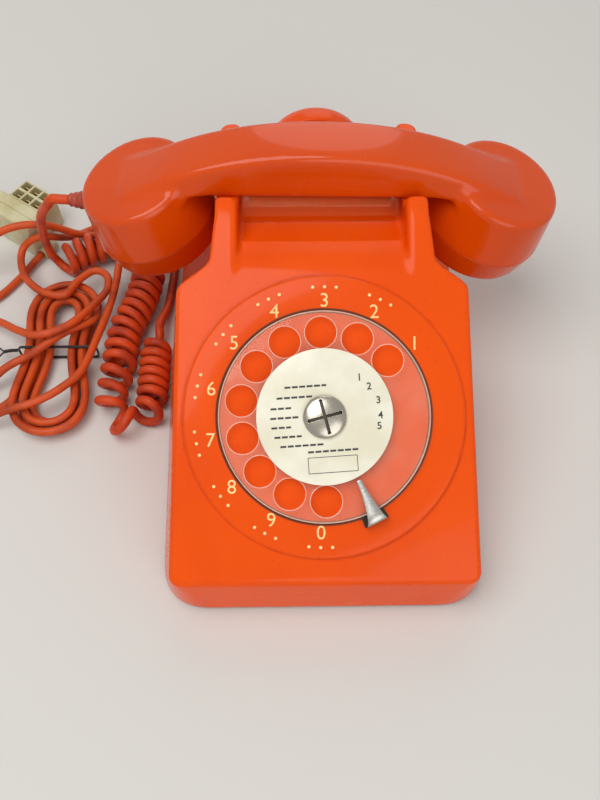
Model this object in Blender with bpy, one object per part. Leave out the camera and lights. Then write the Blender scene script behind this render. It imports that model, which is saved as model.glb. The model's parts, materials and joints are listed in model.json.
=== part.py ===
# Rotary-dial desk telephone with its handset, a second earpiece hung on the
# back, a curly handset cord and a tied-up line cord with its wall plug.
# Metres, +Z up. The dial faces the front, which is -Y, and +X is the user's right.
# The pieces are laid out from the front edge of the casing, y = 0, and the
# "telephone" empty moves them all so that the origin lies under the middle.

import bpy
import bmesh
from math import acos, atan2, cos, pi, radians, sin, sqrt, tan
from mathutils import Matrix, Vector

# ---------------------------------------------------------------- casing
GAP = 0.0003                # between pieces that touch
WALL = 0.0026               # moulded plastic
RIM = 0.0020                # lower edge of the casing above the table
BASE_HALF_FRONT = 0.0730    # half widths of the casing at its lower edge
BASE_HALF_SHOULDER = 0.0770
BASE_HALF_REAR = 0.0740
BASE_LENGTH = 0.2140
FRONT_HEIGHT = 0.0296       # top of the low front wall
FRONT_LEAN = 0.0029
REAR_LEAN = 0.0090
FRONT_CORNER = 0.0100
REAR_CORNER = 0.0130
FACE_SLOPE = radians(27.84)
FACE_HALF_FRONT = 0.0643
FACE_HALF_SHOULDER = 0.0620
SHOULDER_RUN = 0.1272       # distances up the sloping face
NECK_RUN = 0.1396
CREST_RUN = 0.1428
HORN_RUN = 0.1590
NECK_HALF = 0.0490
HORN_HALF = 0.0464          # half width over the cradle horns
HORN_WIDTH = 0.0099
DECK_HALF = 0.0710          # low shoulder under the handset cups
DECK_HEIGHT = 0.0280
FOOT_HALF = 0.0475          # where the neck rises out of that shoulder
FOOT_HEIGHT_Z = 0.0500

# ---------------------------------------------------------------- cradle
HANDLE_Y = 0.1715           # middle of the resting handle
HANDLE_BOTTOM = 0.0980
TROUGH_HALF = 0.0180        # half length of the trough that holds the handle
HORN_RISE = 0.0070          # top of a front horn above the trough
REAR_HORN_RISE = 0.0052
HORN_FLANK = 0.0020
RECESS_FLOOR = 0.0860       # between the horns, under the handle
RAMP_DROP = 0.0070
RECESS_END = 0.1985
REAR_SILL = 0.0970
CEILING = RECESS_FLOOR - WALL

# ---------------------------------------------------------------- dial
DIAL_RUN = 0.0711           # dial centre, up the face
RING_RADIUS = 0.0603
RING_THICK = 0.0018
WELL_RADIUS = 0.0458        # shallow well round the finger wheel
WELL_DEPTH = 0.0007
WHEEL_RADIUS = 0.0443
WHEEL_THICK = 0.0022
WHEEL_LIFT = 0.0036         # underside of the wheel above the face
HOLE_RADIUS = 0.0069
HOLE_CIRCLE = 0.0356
HOLE_COUNT = 10
HOLE_STEP = 25.5            # degrees between finger holes
FIRST_HOLE = 41.2           # degrees, the hole of digit 1
CARD_RADIUS = 0.0287
CARD_THICK = 0.0005
SCREW_RADIUS = 0.0091
STOP_ANGLE = -64.0
CASE_RADIUS = 0.0365
CASE_DEPTH = 0.0240
FACE_HOLE = 0.0380
SPINDLE_RADIUS = 0.0040
GEAR_MODULE = 0.0011
MAIN_TEETH = 24
PINION_TEETH = 8
PULSE_TEETH = 20
GOVERNOR_TEETH = 8

# ---------------------------------------------------------------- handset
HANDLE_TOP = 0.1185
HANDLE_ARCH = 2.62          # how fast the handle falls away, per metre squared
HANDLE_HALF_TOP = 0.0119
HANDLE_HALF_LOW = 0.0153
CUP_X = 0.0854
CUP_TOP = 0.0949
CUP_TILT = radians(15.6)
CUP_RADIUS = 0.0251
SEAM_RADIUS = 0.0291
CAP_RADIUS = 0.0273
SEAM_DROP = 0.0235
CUP_SHOULDER = 0.0032
CUP_DROP = 0.0386
CUP_WALL = 0.0024
CAPSULE_RADIUS = 0.0215

# ---------------------------------------------------------------- earpiece
EAR_Z = 0.0555              # centre height of the second earpiece
EAR_RADIUS = 0.0270
EAR_CAP_THICK = 0.0080
EAR_GROOVE = 0.0040
EAR_GROOVE_RADIUS = 0.0220
EAR_DEPTH = 0.0180
EAR_STAND_OFF = 0.0010
FORK_THICK = 0.0028

# ---------------------------------------------------------------- cords
LINE_CORD = 0.0042          # diameters
CURLY_CORD = 0.0048
CURL_RADIUS = 0.0070
CURL_PITCH = 0.0056
CURL_POINTS = 8
HANK_POINTS = 24

for old in list(bpy.data.objects):
    bpy.data.objects.remove(old, do_unlink=True)


# ================================================================ helpers
def finish(name, colour, roughness, metallic=0.0, alpha=1.0):
    material = bpy.data.materials.new(name)
    material.use_nodes = True
    shader = material.node_tree.nodes["Principled BSDF"]
    shader.inputs["Base Color"].default_value = (*colour, 1.0)
    shader.inputs["Roughness"].default_value = roughness
    shader.inputs["Metallic"].default_value = metallic
    shader.inputs["Alpha"].default_value = alpha
    return material


def orange(name):
    return finish(name, (0.80, 0.10, 0.01), 0.25)


def steel(name):
    return finish(name, (0.62, 0.61, 0.58), 0.30, 1.0)


def brass(name):
    return finish(name, (0.70, 0.50, 0.22), 0.35, 1.0)


def empty(name, parent=None, matrix=Matrix.Identity(4)):
    node = bpy.data.objects.new(name, None)
    bpy.context.collection.objects.link(node)
    node.parent = parent
    node.matrix_local = matrix
    return node


def put(name, bm, material, parent, matrix=Matrix.Identity(4), sharp=32.0):
    """Turn a bmesh into an object, its faces out and its round parts smooth."""
    bmesh.ops.remove_doubles(bm, verts=bm.verts, dist=0.00002)
    bmesh.ops.recalc_face_normals(bm, faces=bm.faces)
    mesh = bpy.data.meshes.new(name)
    bm.to_mesh(mesh)
    bm.free()
    mesh.materials.append(material)
    mesh.shade_smooth()
    mesh.set_sharp_from_angle(angle=radians(sharp))
    node = bpy.data.objects.new(name, mesh)
    bpy.context.collection.objects.link(node)
    node.parent = parent
    node.matrix_local = matrix
    return node


def rebevel(node, width, segments=2, angle=32.0):
    modifier = node.modifiers.new("rounded edges", "BEVEL")
    modifier.width = width
    modifier.segments = segments
    modifier.limit_method = "ANGLE"
    modifier.angle_limit = radians(angle)
    modifier.use_clamp_overlap = True
    return node


def combine(node, tool_bm, operation, matrix=Matrix.Identity(4), label="cutter"):
    """Add or take away a hidden tool shape, given in the node's own parent space."""
    tool = put(f"{node.name}_{label}", tool_bm, node.data.materials[0], node.parent, matrix)
    tool.hide_render = True
    tool.display_type = "WIRE"
    modifier = node.modifiers.new(label, "BOOLEAN")
    modifier.operation = operation
    modifier.object = tool
    return node


def skin(bm, low, high):
    """Faces between two rings of points; a ring of one point is a pole."""
    count = max(len(low), len(high))
    for i in range(count):
        j = (i + 1) % count
        if len(low) == 1:
            bm.faces.new((low[0], high[j], high[i]))
        elif len(high) == 1:
            bm.faces.new((low[i], low[j], high[0]))
        else:
            bm.faces.new((low[i], low[j], high[j], high[i]))


def turned(profile, steps, ring=False):
    """A solid of revolution about Z from (radius, height) points."""
    bm = bmesh.new()
    rows = []
    for radius, height in profile:
        if radius == 0.0:
            rows.append([bm.verts.new((0.0, 0.0, height))])
            continue
        rows.append([bm.verts.new((radius * cos(2 * pi * i / steps),
                                   radius * sin(2 * pi * i / steps), height))
                     for i in range(steps)])
    following = rows[1:] + ([rows[0]] if ring else [])
    for low, high in zip(rows, following):
        skin(bm, low, high)
    return bm


def disc(radius, low, high, steps=24):
    return turned([(0.0, low), (radius, low), (radius, high), (0.0, high)], steps)


def washer(inner, outer, low, high, steps=32):
    return turned([(inner, low), (outer, low), (outer, high), (inner, high)], steps, ring=True)


def lofted(rings):
    """A closed solid through rings of equal count, with flat ends."""
    bm = bmesh.new()
    rows = [[bm.verts.new(point) for point in ring] for ring in rings]
    for low, high in zip(rows, rows[1:]):
        skin(bm, low, high)
    bm.faces.new(rows[0])
    bm.faces.new(rows[-1])
    return bm


def prism(outline, low, high):
    return lofted([[(x, y, z) for x, y in outline] for z in (low, high)])


def block(size, centre):
    half = [s / 2 for s in size]
    outline = [(centre[0] + i * half[0], centre[1] + j * half[1])
               for i, j in ((-1, -1), (1, -1), (1, 1), (-1, 1))]
    return prism(outline, centre[2] - half[2], centre[2] + half[2])


def merged(*shapes):
    """Several separate closed shapes in one bmesh, for use as a cutter."""
    whole = bmesh.new()
    for shape in shapes:
        mesh = bpy.data.meshes.new("merged")
        shape.to_mesh(mesh)
        shape.free()
        whole.from_mesh(mesh)
        bpy.data.meshes.remove(mesh)
    return whole


def moved(bm, matrix):
    bmesh.ops.transform(bm, matrix=matrix, verts=bm.verts)
    return bm


def shift(x=0.0, y=0.0, z=0.0):
    return Matrix.Translation((x, y, z))


def along(direction, origin=(0.0, 0.0, 0.0)):
    """A frame at origin whose Z points along direction."""
    turn = Vector((0.0, 0.0, 1.0)).rotation_difference(Vector(direction))
    return Matrix.Translation(origin) @ turn.to_matrix().to_4x4()


def gear_outline(teeth, phase=0.0):
    """Four points a tooth, cut slim so that a meshed pair keeps clear."""
    pitch_radius = teeth * GEAR_MODULE / 2
    tip = pitch_radius + 0.70 * GEAR_MODULE
    root = pitch_radius - 1.10 * GEAR_MODULE
    tooth = 2 * pi / teeth
    points = []
    for i in range(teeth):
        for share, radius in ((-0.21, root), (-0.09, tip), (0.09, tip), (0.21, root)):
            angle = phase + (i + share) * tooth
            points.append((radius * cos(angle), radius * sin(angle)))
    return points


# ================================================================ casing
def face_height(y):
    return FRONT_HEIGHT + (y - FRONT_LEAN) * tan(FACE_SLOPE)


def face_y(run):
    return FRONT_LEAN + run * cos(FACE_SLOPE)


def rear_y(z):
    return BASE_LENGTH - REAR_LEAN * (z - RIM) / (REAR_SILL - RIM)


HORN_TOP = HANDLE_BOTTOM - GAP + HORN_RISE
REAR_HORN_TOP = HANDLE_BOTTOM - GAP + REAR_HORN_RISE
TROUGH_FLOOR = HANDLE_BOTTOM - GAP
TROUGH_FRONT = HANDLE_Y - TROUGH_HALF
TROUGH_REAR = HANDLE_Y + TROUGH_HALF
CREST_Y = face_y(CREST_RUN)
RAMP_END = TROUGH_FRONT - HORN_FLANK


def ramp_height(y):
    share = (y - CREST_Y) / (RAMP_END - CREST_Y)
    return face_height(CREST_Y) - RAMP_DROP * share


def base_half(y):
    shoulder = face_y(SHOULDER_RUN)
    if y < shoulder:
        return BASE_HALF_FRONT + (BASE_HALF_SHOULDER - BASE_HALF_FRONT) * y / shoulder
    share = (y - shoulder) / (BASE_LENGTH - shoulder)
    return BASE_HALF_SHOULDER + (BASE_HALF_REAR - BASE_HALF_SHOULDER) * share


def between(a, b, share):
    return tuple(p + (q - p) * share for p, q in zip(a, b))


def casing_rows(inset):
    """Half sections of the casing, front to rear, seven points each.

    A row runs base, deck, foot, edge, horn, recess, middle. With an inset the
    rows give the hollow inside, whose ceiling passes under the horns.
    """
    horn_in = HORN_HALF - HORN_WIDTH
    base_z = RIM if inset == 0.0 else -RIM
    drop = inset / cos(FACE_SLOPE)
    rows = []

    def row(base, deck, foot, edge, recess_z):
        horn = (min(horn_in, edge[0]), edge[1], edge[2])
        recess = (horn[0], edge[1], recess_z)
        rows.append([base, deck, foot, edge, horn, recess, (0.0, edge[1], recess_z)])

    def front_row(base, edge):
        row(base, between(base, edge, 0.30), between(base, edge, 0.55), edge, edge[2])

    corner = FRONT_CORNER - inset
    arc = 1 if inset else 3
    for step in range(arc + 1):
        turn = radians(90.0) * step / arc
        back = corner * (1 - cos(turn))
        side = corner * (1 - sin(turn))
        edge_y = FRONT_LEAN + inset + back
        front_row((BASE_HALF_FRONT - inset - side, inset + back, base_z),
                  (FACE_HALF_FRONT - inset - side, edge_y, face_height(edge_y) - drop))
    y = face_y(SHOULDER_RUN)
    front_row((base_half(y) - inset, y, base_z),
              (FACE_HALF_SHOULDER - inset, y, face_height(y) - drop))

    def neck_row(y, edge_half, edge_z, recess_z):
        if inset:
            edge_z = recess_z = min(edge_z, recess_z) - inset
        row((base_half(y) - inset, y, base_z),
            (DECK_HALF - inset, y, DECK_HEIGHT - inset),
            (max(FOOT_HALF, edge_half + 0.0008) - inset, y, FOOT_HEIGHT_Z - inset),
            (edge_half - inset, y, edge_z), recess_z)

    neck_y = face_y(NECK_RUN)
    neck_row(neck_y, NECK_HALF, face_height(neck_y), face_height(neck_y))
    neck_row(CREST_Y, NECK_HALF - 0.0004, face_height(CREST_Y), face_height(CREST_Y))
    neck_row(TROUGH_FRONT, HORN_HALF, TROUGH_FLOOR, RECESS_FLOOR)
    if not inset:
        trough = rows.pop()
        horn_y = face_y(HORN_RUN)
        tip_y = horn_y + 0.0035
        neck_row(horn_y, HORN_HALF, face_height(horn_y), ramp_height(horn_y))
        neck_row(tip_y, HORN_HALF, HORN_TOP + 0.0006, ramp_height(tip_y))
        neck_row(RAMP_END, HORN_HALF, HORN_TOP, ramp_height(RAMP_END))
        rows.append(trough)
        neck_row(TROUGH_REAR, HORN_HALF, TROUGH_FLOOR, RECESS_FLOOR)
        neck_row(TROUGH_REAR + HORN_FLANK, HORN_HALF, REAR_HORN_TOP - 0.0010, RECESS_FLOOR)
        neck_row(TROUGH_REAR + 2.5 * HORN_FLANK, HORN_HALF, REAR_HORN_TOP, RECESS_FLOOR)
        neck_row(RECESS_END, HORN_HALF - 0.0003, REAR_HORN_TOP - 0.0003, RECESS_FLOOR)

    top_z = REAR_HORN_TOP - 0.0012
    sill_z = REAR_SILL
    if inset:
        top_z = sill_z = CEILING
    for step in range(arc + 1):
        turn = radians(90.0) * step / arc

        def rounded(half, z, corner):
            radius = corner - inset
            return (half - inset - radius * (1 - cos(turn)),
                    rear_y(z) - inset - radius * (1 - sin(turn)), z)

        edge = rounded(HORN_HALF - 0.0006, top_z, 0.0046)
        row(rounded(BASE_HALF_REAR, base_z, REAR_CORNER),
            rounded(DECK_HALF, DECK_HEIGHT - inset, REAR_CORNER - 0.0010),
            rounded(FOOT_HALF, FOOT_HEIGHT_Z - inset, 0.0060), edge, sill_z)
    return rows


def casing_solid(inset=0.0):
    bm = bmesh.new()
    sides = []
    for half in casing_rows(inset):
        right = [bm.verts.new(point) for point in half[:-1]]
        middle = bm.verts.new(half[-1])
        left = [bm.verts.new((-x, y, z)) for x, y, z in reversed(half[:-1])]
        sides.append(right + [middle] + left)
    for low, high in zip(sides, sides[1:]):
        for i in range(len(low) - 1):
            bm.faces.new((low[i], low[i + 1], high[i + 1], high[i]))
    bm.faces.new([row[0] for row in sides] + [row[-1] for row in reversed(sides)])
    bm.faces.new(sides[0])
    bm.faces.new(sides[-1])
    return bm


dial_frame = (Matrix.Translation((0.0, face_y(DIAL_RUN), face_height(face_y(DIAL_RUN))))
              @ Matrix.Rotation(FACE_SLOPE, 4, "X"))

PLATE_LOW = 0.0025
PLATE_THICK = 0.0020
PLATE_TOP = PLATE_LOW + PLATE_THICK
BOSS_RADIUS = 0.0042
SCREW_SHANK = 0.0015
BOSS_PLACES = {"front": (0.0, 0.0150, face_height(0.0150 - BOSS_RADIUS) - WALL / 2),
               "left": (-0.0560, 0.1900, 0.0370),
               "right": (0.0560, 0.1900, 0.0370)}
GLAND_Z = 0.0095
GLAND_HOLE = 0.0036
GLAND_PLACES = {"line": -0.0300, "handset": -0.0540, "earpiece": 0.0300}
HOOK_X = 0.0330             # middle of each hook arm
HOOK_ARM = 0.0030
HOOK_PIVOT = (HANDLE_Y + 0.0085, 0.0720)
HOOK_SLOT = (0.0150, 0.0045)
EAR_FACE = rear_y(EAR_Z - EAR_RADIUS) + EAR_STAND_OFF
FORK_Y = EAR_FACE + EAR_CAP_THICK + (EAR_GROOVE - FORK_THICK) / 2


def build_housing():
    housing = put("housing", casing_solid(), orange("orange_housing"), telephone)
    rebevel(housing, 0.0016, 2)
    combine(housing, casing_solid(WALL), "DIFFERENCE", label="hollow")
    bosses = [moved(disc(BOSS_RADIUS, PLATE_TOP + GAP, top, 10), shift(x, y))
              for x, y, top in BOSS_PLACES.values()]
    combine(housing, merged(*bosses), "UNION", label="bosses")
    pilots = [moved(disc(SCREW_SHANK + GAP, 0.0, PLATE_TOP + 0.0110, 8), shift(x, y))
              for x, y, top in BOSS_PLACES.values()]
    combine(housing, merged(*pilots), "DIFFERENCE", label="pilots")
    combine(housing, disc(FACE_HOLE, -0.0080, 0.0060, 40), "DIFFERENCE", dial_frame, "dial hole")
    slots = [block((HOOK_SLOT[1], HOOK_SLOT[0], 0.0100), (side * HOOK_X, HOOK_PIVOT[0], RECESS_FLOOR))
             for side in (-1, 1)]
    combine(housing, merged(*slots), "DIFFERENCE", label="hook slots")
    holes = [moved(disc(GLAND_HOLE, -0.0100, 0.0100, 12),
                   along((0, 1, 0), (x, rear_y(GLAND_Z), GLAND_Z)))
             for x in GLAND_PLACES.values()]
    combine(housing, merged(*holes), "DIFFERENCE", label="gland holes")
    return housing


def plate_outline():
    """The casing's lower outline, moved in to pass inside its wall."""
    lean = (BASE_HALF_FRONT - FACE_HALF_FRONT) / (FRONT_HEIGHT - RIM)
    inset = WALL + 3 * GAP + lean * (PLATE_TOP + RIM)
    half = [(row[0][0], row[0][1]) for row in casing_rows(inset)]
    return half + [(-x, y) for x, y in reversed(half)]


def build_base():
    plate = put("base_plate", prism(plate_outline(), PLATE_LOW, PLATE_TOP),
                steel("plated_base"), telephone)
    holes = [moved(disc(SCREW_SHANK + GAP, 0.0, 0.0100, 8), shift(x, y))
             for x, y, top in BOSS_PLACES.values()]
    holes.append(moved(disc(VOLUME_SHAFT + GAP, 0.0, 0.0100, 12), shift(*VOLUME_PLACE)))
    combine(plate, merged(*holes), "DIFFERENCE", label="holes")
    for name, (x, y, top) in BOSS_PLACES.items():
        head = PLATE_LOW - GAP
        profile = [(0.0, head - 0.0014), (0.0032, head - 0.0014), (0.0032, head),
                   (SCREW_SHANK, head), (SCREW_SHANK, PLATE_TOP + 0.0080), (0.0, PLATE_TOP + 0.0080)]
        put(f"base_screw_{name}", turned(profile, 10), steel(f"screw_{name}"), telephone, shift(x, y))
    rubber = (0.03, 0.03, 0.03)
    for end, y in (("front", 0.0180), ("rear", 0.1960)):
        for side, x in (("left", -0.0560), ("right", 0.0560)):
            if end == "rear":
                x *= 0.72
            profile = [(0.0, 0.0), (0.0060, 0.0), (0.0068, 0.0006),
                       (0.0068, PLATE_LOW - GAP), (0.0, PLATE_LOW - GAP)]
            put(f"foot_{end}_{side}", turned(profile, 14), finish(f"rubber_{end}_{side}", rubber, 0.8),
                telephone, shift(x, y))


# ================================================================ dial
WHEEL_TOP = WHEEL_LIFT + WHEEL_THICK
CARD_LOW = WHEEL_TOP + GAP
HEAD_LOW = CARD_LOW + CARD_THICK + GAP
GEAR_LOW = -0.0080
GEAR_THICK = 0.0020
PULSE_LOW = GEAR_LOW - 0.0045
PINION_X = (MAIN_TEETH + PINION_TEETH) * GEAR_MODULE / 2
GOVERNOR_X = (PULSE_TEETH + GOVERNOR_TEETH) * GEAR_MODULE / 2
CASE_FLOOR = -CASE_DEPTH + 0.0016
PULSE_PLACE = Vector((0.0, PINION_X, 0.0))
GOVERNOR_TURN = radians(20.0)
GOVERNOR_PLACE = PULSE_PLACE + GOVERNOR_X * Vector((cos(GOVERNOR_TURN), sin(GOVERNOR_TURN), 0.0))


def build_dial():
    dial = empty("dial", telephone, dial_frame)
    spin = empty("dial_spin", dial)
    pulse = empty("pulse_spin", dial, Matrix.Translation(PULSE_PLACE))
    governor = empty("governor_spin", dial, Matrix.Translation(GOVERNOR_PLACE))

    low, high = GAP, GAP + RING_THICK
    profile = [(0.0075, low), (RING_RADIUS, low), (RING_RADIUS, high - 0.0008),
               (RING_RADIUS - 0.0010, high), (WELL_RADIUS, high), (WELL_RADIUS - 0.0004, high - WELL_DEPTH),
               (0.0075, high - WELL_DEPTH)]
    put("number_ring", turned(profile, 40, ring=True), orange("orange_number_ring"), dial)

    wall = 0.0015
    profile = [(0.0, -CASE_DEPTH), (CASE_RADIUS, -CASE_DEPTH), (CASE_RADIUS, 0.0),
               (CASE_RADIUS - wall, 0.0), (CASE_RADIUS - wall, CASE_FLOOR), (0.0, CASE_FLOOR)]
    put("dial_case", turned(profile, 24), steel("dial_case"), dial)
    clamp_top = -WALL - GAP
    put("dial_clamp_ring", washer(CASE_RADIUS + GAP, FACE_HOLE + 0.0050, clamp_top - 0.0018, clamp_top, 24),
        steel("dial_clamp_ring"), dial)

    rim = [(0.0, WHEEL_LIFT), (WHEEL_RADIUS - 0.0006, WHEEL_LIFT), (WHEEL_RADIUS, WHEEL_LIFT + 0.0006),
           (WHEEL_RADIUS, WHEEL_TOP - 0.0006), (WHEEL_RADIUS - 0.0006, WHEEL_TOP), (0.0, WHEEL_TOP)]
    clear = finish("clear_wheel", (0.95, 0.90, 0.86), 0.08, alpha=0.35)
    wheel = put("finger_wheel", turned(rim, 36), clear, spin)
    holes = [disc(SPINDLE_RADIUS + GAP, 0.0, 0.0100, 16)]
    for i in range(HOLE_COUNT):
        angle = radians(FIRST_HOLE + HOLE_STEP * i)
        holes.append(moved(disc(HOLE_RADIUS, 0.0, 0.0100, 14),
                           shift(HOLE_CIRCLE * cos(angle), HOLE_CIRCLE * sin(angle))))
    combine(wheel, merged(*holes), "DIFFERENCE", label="finger holes")

    put("number_card", washer(SPINDLE_RADIUS + GAP, CARD_RADIUS, CARD_LOW, CARD_LOW + CARD_THICK, 28),
        finish("ivory_card", (0.80, 0.77, 0.65), 0.5), spin)

    spindle_top = CARD_LOW + CARD_THICK
    bore = 0.0021
    profile = [(0.0, CASE_FLOOR + GAP), (0.0030, CASE_FLOOR + GAP), (0.0030, GEAR_LOW + GEAR_THICK + GAP),
               (SPINDLE_RADIUS, GEAR_LOW + GEAR_THICK + GAP), (SPINDLE_RADIUS, spindle_top),
               (bore, spindle_top), (bore, spindle_top - 0.0060), (0.0, spindle_top - 0.0060)]
    put("dial_spindle", turned(profile, 16), steel("dial_spindle"), spin)

    dome = 0.0030
    profile = [(0.0, HEAD_LOW - 0.0050), (0.0018, HEAD_LOW - 0.0050), (0.0018, HEAD_LOW),
               (SCREW_RADIUS, HEAD_LOW), (SCREW_RADIUS, HEAD_LOW + 0.0006)]
    for share in (0.30, 0.60, 0.85):
        profile.append((SCREW_RADIUS * cos(share * pi / 2), HEAD_LOW + 0.0006 + (dome - 0.0006) * sin(share * pi / 2)))
    profile.append((0.0, HEAD_LOW + dome))
    screw = put("centre_screw", turned(profile, 16), steel("nickel_screw"), spin)
    slot = prism([(-0.0060, -0.0006), (-0.0006, -0.0006), (-0.0006, -0.0060), (0.0006, -0.0060),
                  (0.0006, -0.0006), (0.0060, -0.0006), (0.0060, 0.0006), (0.0006, 0.0006),
                  (0.0006, 0.0060), (-0.0006, 0.0060), (-0.0006, 0.0006), (-0.0060, 0.0006)],
                 HEAD_LOW + 0.0014, HEAD_LOW + 0.0060)
    combine(screw, slot, "DIFFERENCE", Matrix.Rotation(radians(15.0), 4, "Z"), "cross slot")

    gear = put("main_gear", prism(gear_outline(MAIN_TEETH, pi / 2 + pi / MAIN_TEETH), GEAR_LOW, GEAR_LOW + GEAR_THICK),
               brass("main_gear"), spin)
    combine(gear, disc(0.0030 + GAP, -0.0200, 0.0, 12), "DIFFERENCE", label="bore")

    pinion = put("pulse_pinion", prism(gear_outline(PINION_TEETH, -pi / 2), PULSE_LOW, GEAR_LOW + GEAR_THICK),
                 brass("pulse_pinion"), pulse)
    shaft = disc(0.0015, CASE_FLOOR + GAP, -0.0015, 10)
    combine(pinion, shaft, "UNION", label="shaft")
    wheel_low = PULSE_LOW - 0.0015
    driver = prism(gear_outline(PULSE_TEETH, GOVERNOR_TURN + pi / PULSE_TEETH), wheel_low, PULSE_LOW + 0.0004)
    combine(pinion, driver, "UNION", label="governor drive")

    teeth = prism(gear_outline(GOVERNOR_TEETH, GOVERNOR_TURN + pi), wheel_low - 0.0003, PULSE_LOW + 0.0010)
    spindle = put("governor_spindle", teeth,
                  steel("governor_spindle"), governor)
    profile = [(0.0, CASE_FLOOR + GAP), (0.0012, CASE_FLOOR + GAP), (0.0012, wheel_low - 0.0040),
               (0.0040, wheel_low - 0.0040), (0.0040, wheel_low - 0.0018), (0.0012, wheel_low - 0.0018),
               (0.0012, -0.0040), (0.0, -0.0040)]
    combine(spindle, turned(profile, 12), "UNION", label="weights")

    contacts = block((0.0120, 0.0060, 0.0110), (-0.0180, 0.0200, CASE_FLOOR + GAP + 0.0055))
    put("pulse_contacts", contacts, finish("contact_block", (0.25, 0.12, 0.05), 0.6), dial)

    build_finger_stop(dial)


def build_finger_stop(dial):
    """A bright blade that stands outside the wheel and hooks in over its rim."""
    ring_top = GAP + RING_THICK + GAP
    over = WHEEL_TOP + 0.0012
    thick = 0.0012
    start, bend, tip = WELL_RADIUS + 0.0036, WELL_RADIUS + 0.0006, 0.0300
    side = [(start, ring_top), (start, over + thick), (bend, over + thick + 0.0010),
            (tip, over + thick), (tip, over), (bend, over + 0.0004), (bend + 0.0009, over),
            (bend + 0.0009, ring_top)]
    half = {start: 0.0042, bend: 0.0040, bend + 0.0009: 0.0041, tip: 0.0011}
    rings = [[(r, sign * half[r], z) for r, z in side] for sign in (-1, 1)]
    put("finger_stop", lofted(rings), steel("bright_stop"), dial,
        Matrix.Rotation(radians(STOP_ANGLE), 4, "Z"))


# ================================================================ hook switch
def build_hook():
    pivot_y, pivot_z = HOOK_PIVOT
    hinge = empty("hook_hinge", telephone, shift(0.0, pivot_y, pivot_z))
    top = HANDLE_BOTTOM - GAP - pivot_z
    front = RAMP_END + 0.0008 - pivot_y
    back = front + 0.0160
    clear = finish("clear_hook", (0.92, 0.86, 0.80), 0.10, alpha=0.45)
    inner = HOOK_X - HOOK_ARM / 2
    outer = HOOK_X + HOOK_ARM / 2
    lip = [(front, top - 0.0062), (front + 0.0020, top - 0.0062), (front + 0.0020, top - 0.0020),
           (back, top - 0.0020), (back, top), (front, top)]
    bar = put("hook_bar", lofted([[(x, y, z) for y, z in lip] for x in (-outer, outer)]), clear, hinge)
    arm = [(front + 0.0004, top - 0.0060), (front + 0.0030, top - 0.0060), (-0.0060, top - 0.0105),
           (-0.0042, 0.0010), (-0.0032, -0.0030), (0.0032, -0.0030), (0.0042, 0.0010),
           (0.0042, top - 0.0035), (front + 0.0004, top - 0.0003)]
    arms = []
    for side in (-1, 1):
        xs = sorted((side * (inner + 0.0001), side * (outer + 0.0002)))
        arms.append(lofted([[(x, y, z) for y, z in arm] for x in xs]))
    combine(bar, merged(*arms), "UNION", shift(0.0, 0.0, 0.0) @ Matrix.Identity(4), "arms")
    bore = moved(disc(0.0018, -0.0500, 0.0500, 12), along((1, 0, 0)))
    combine(bar, bore, "DIFFERENCE", label="bore")
    pin = moved(disc(0.0015, -0.0405, 0.0405, 12), along((1, 0, 0)))
    put("hook_pivot_pin", pin, steel("hook_pivot_pin"), telephone, shift(0.0, pivot_y, pivot_z))
    for name, side in (("left", -1), ("right", 1)):
        x = side * (outer + 0.0030)
        plate = block((0.0020, 0.0120, CEILING - GAP - pivot_z + 0.0040),
                      (x, pivot_y, (CEILING - GAP + pivot_z - 0.0040) / 2))
        lug = put(f"hook_bracket_{name}", plate, steel(f"hook_bracket_{name}"), telephone)
        hole = moved(disc(0.0015 + GAP, -0.0040, 0.0040, 12), along((1, 0, 0), (x, pivot_y, pivot_z)))
        combine(lug, hole, "DIFFERENCE", label="bore")
    stack = block((0.0180, 0.0100, 0.0140), (0.0, pivot_y + 0.0120, CEILING - GAP - 0.0070))
    put("hook_contacts", stack, finish("hook_contacts", (0.25, 0.12, 0.05), 0.6), telephone)


# ================================================================ ringer
FRAME_THICK = 0.0015
FRAME_TOP = PLATE_TOP + GAP + FRAME_THICK
GONG_X = 0.0280
GONG_RADIUS = 0.0220
GONG_Y = 0.1700
GONG_LOW = 0.0200
PIVOT_Y = GONG_Y - 0.0300
COIL_RADIUS = 0.0080
VOLUME_SHAFT = 0.0025
VOLUME_PLACE = (0.0, 0.1150)


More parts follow.
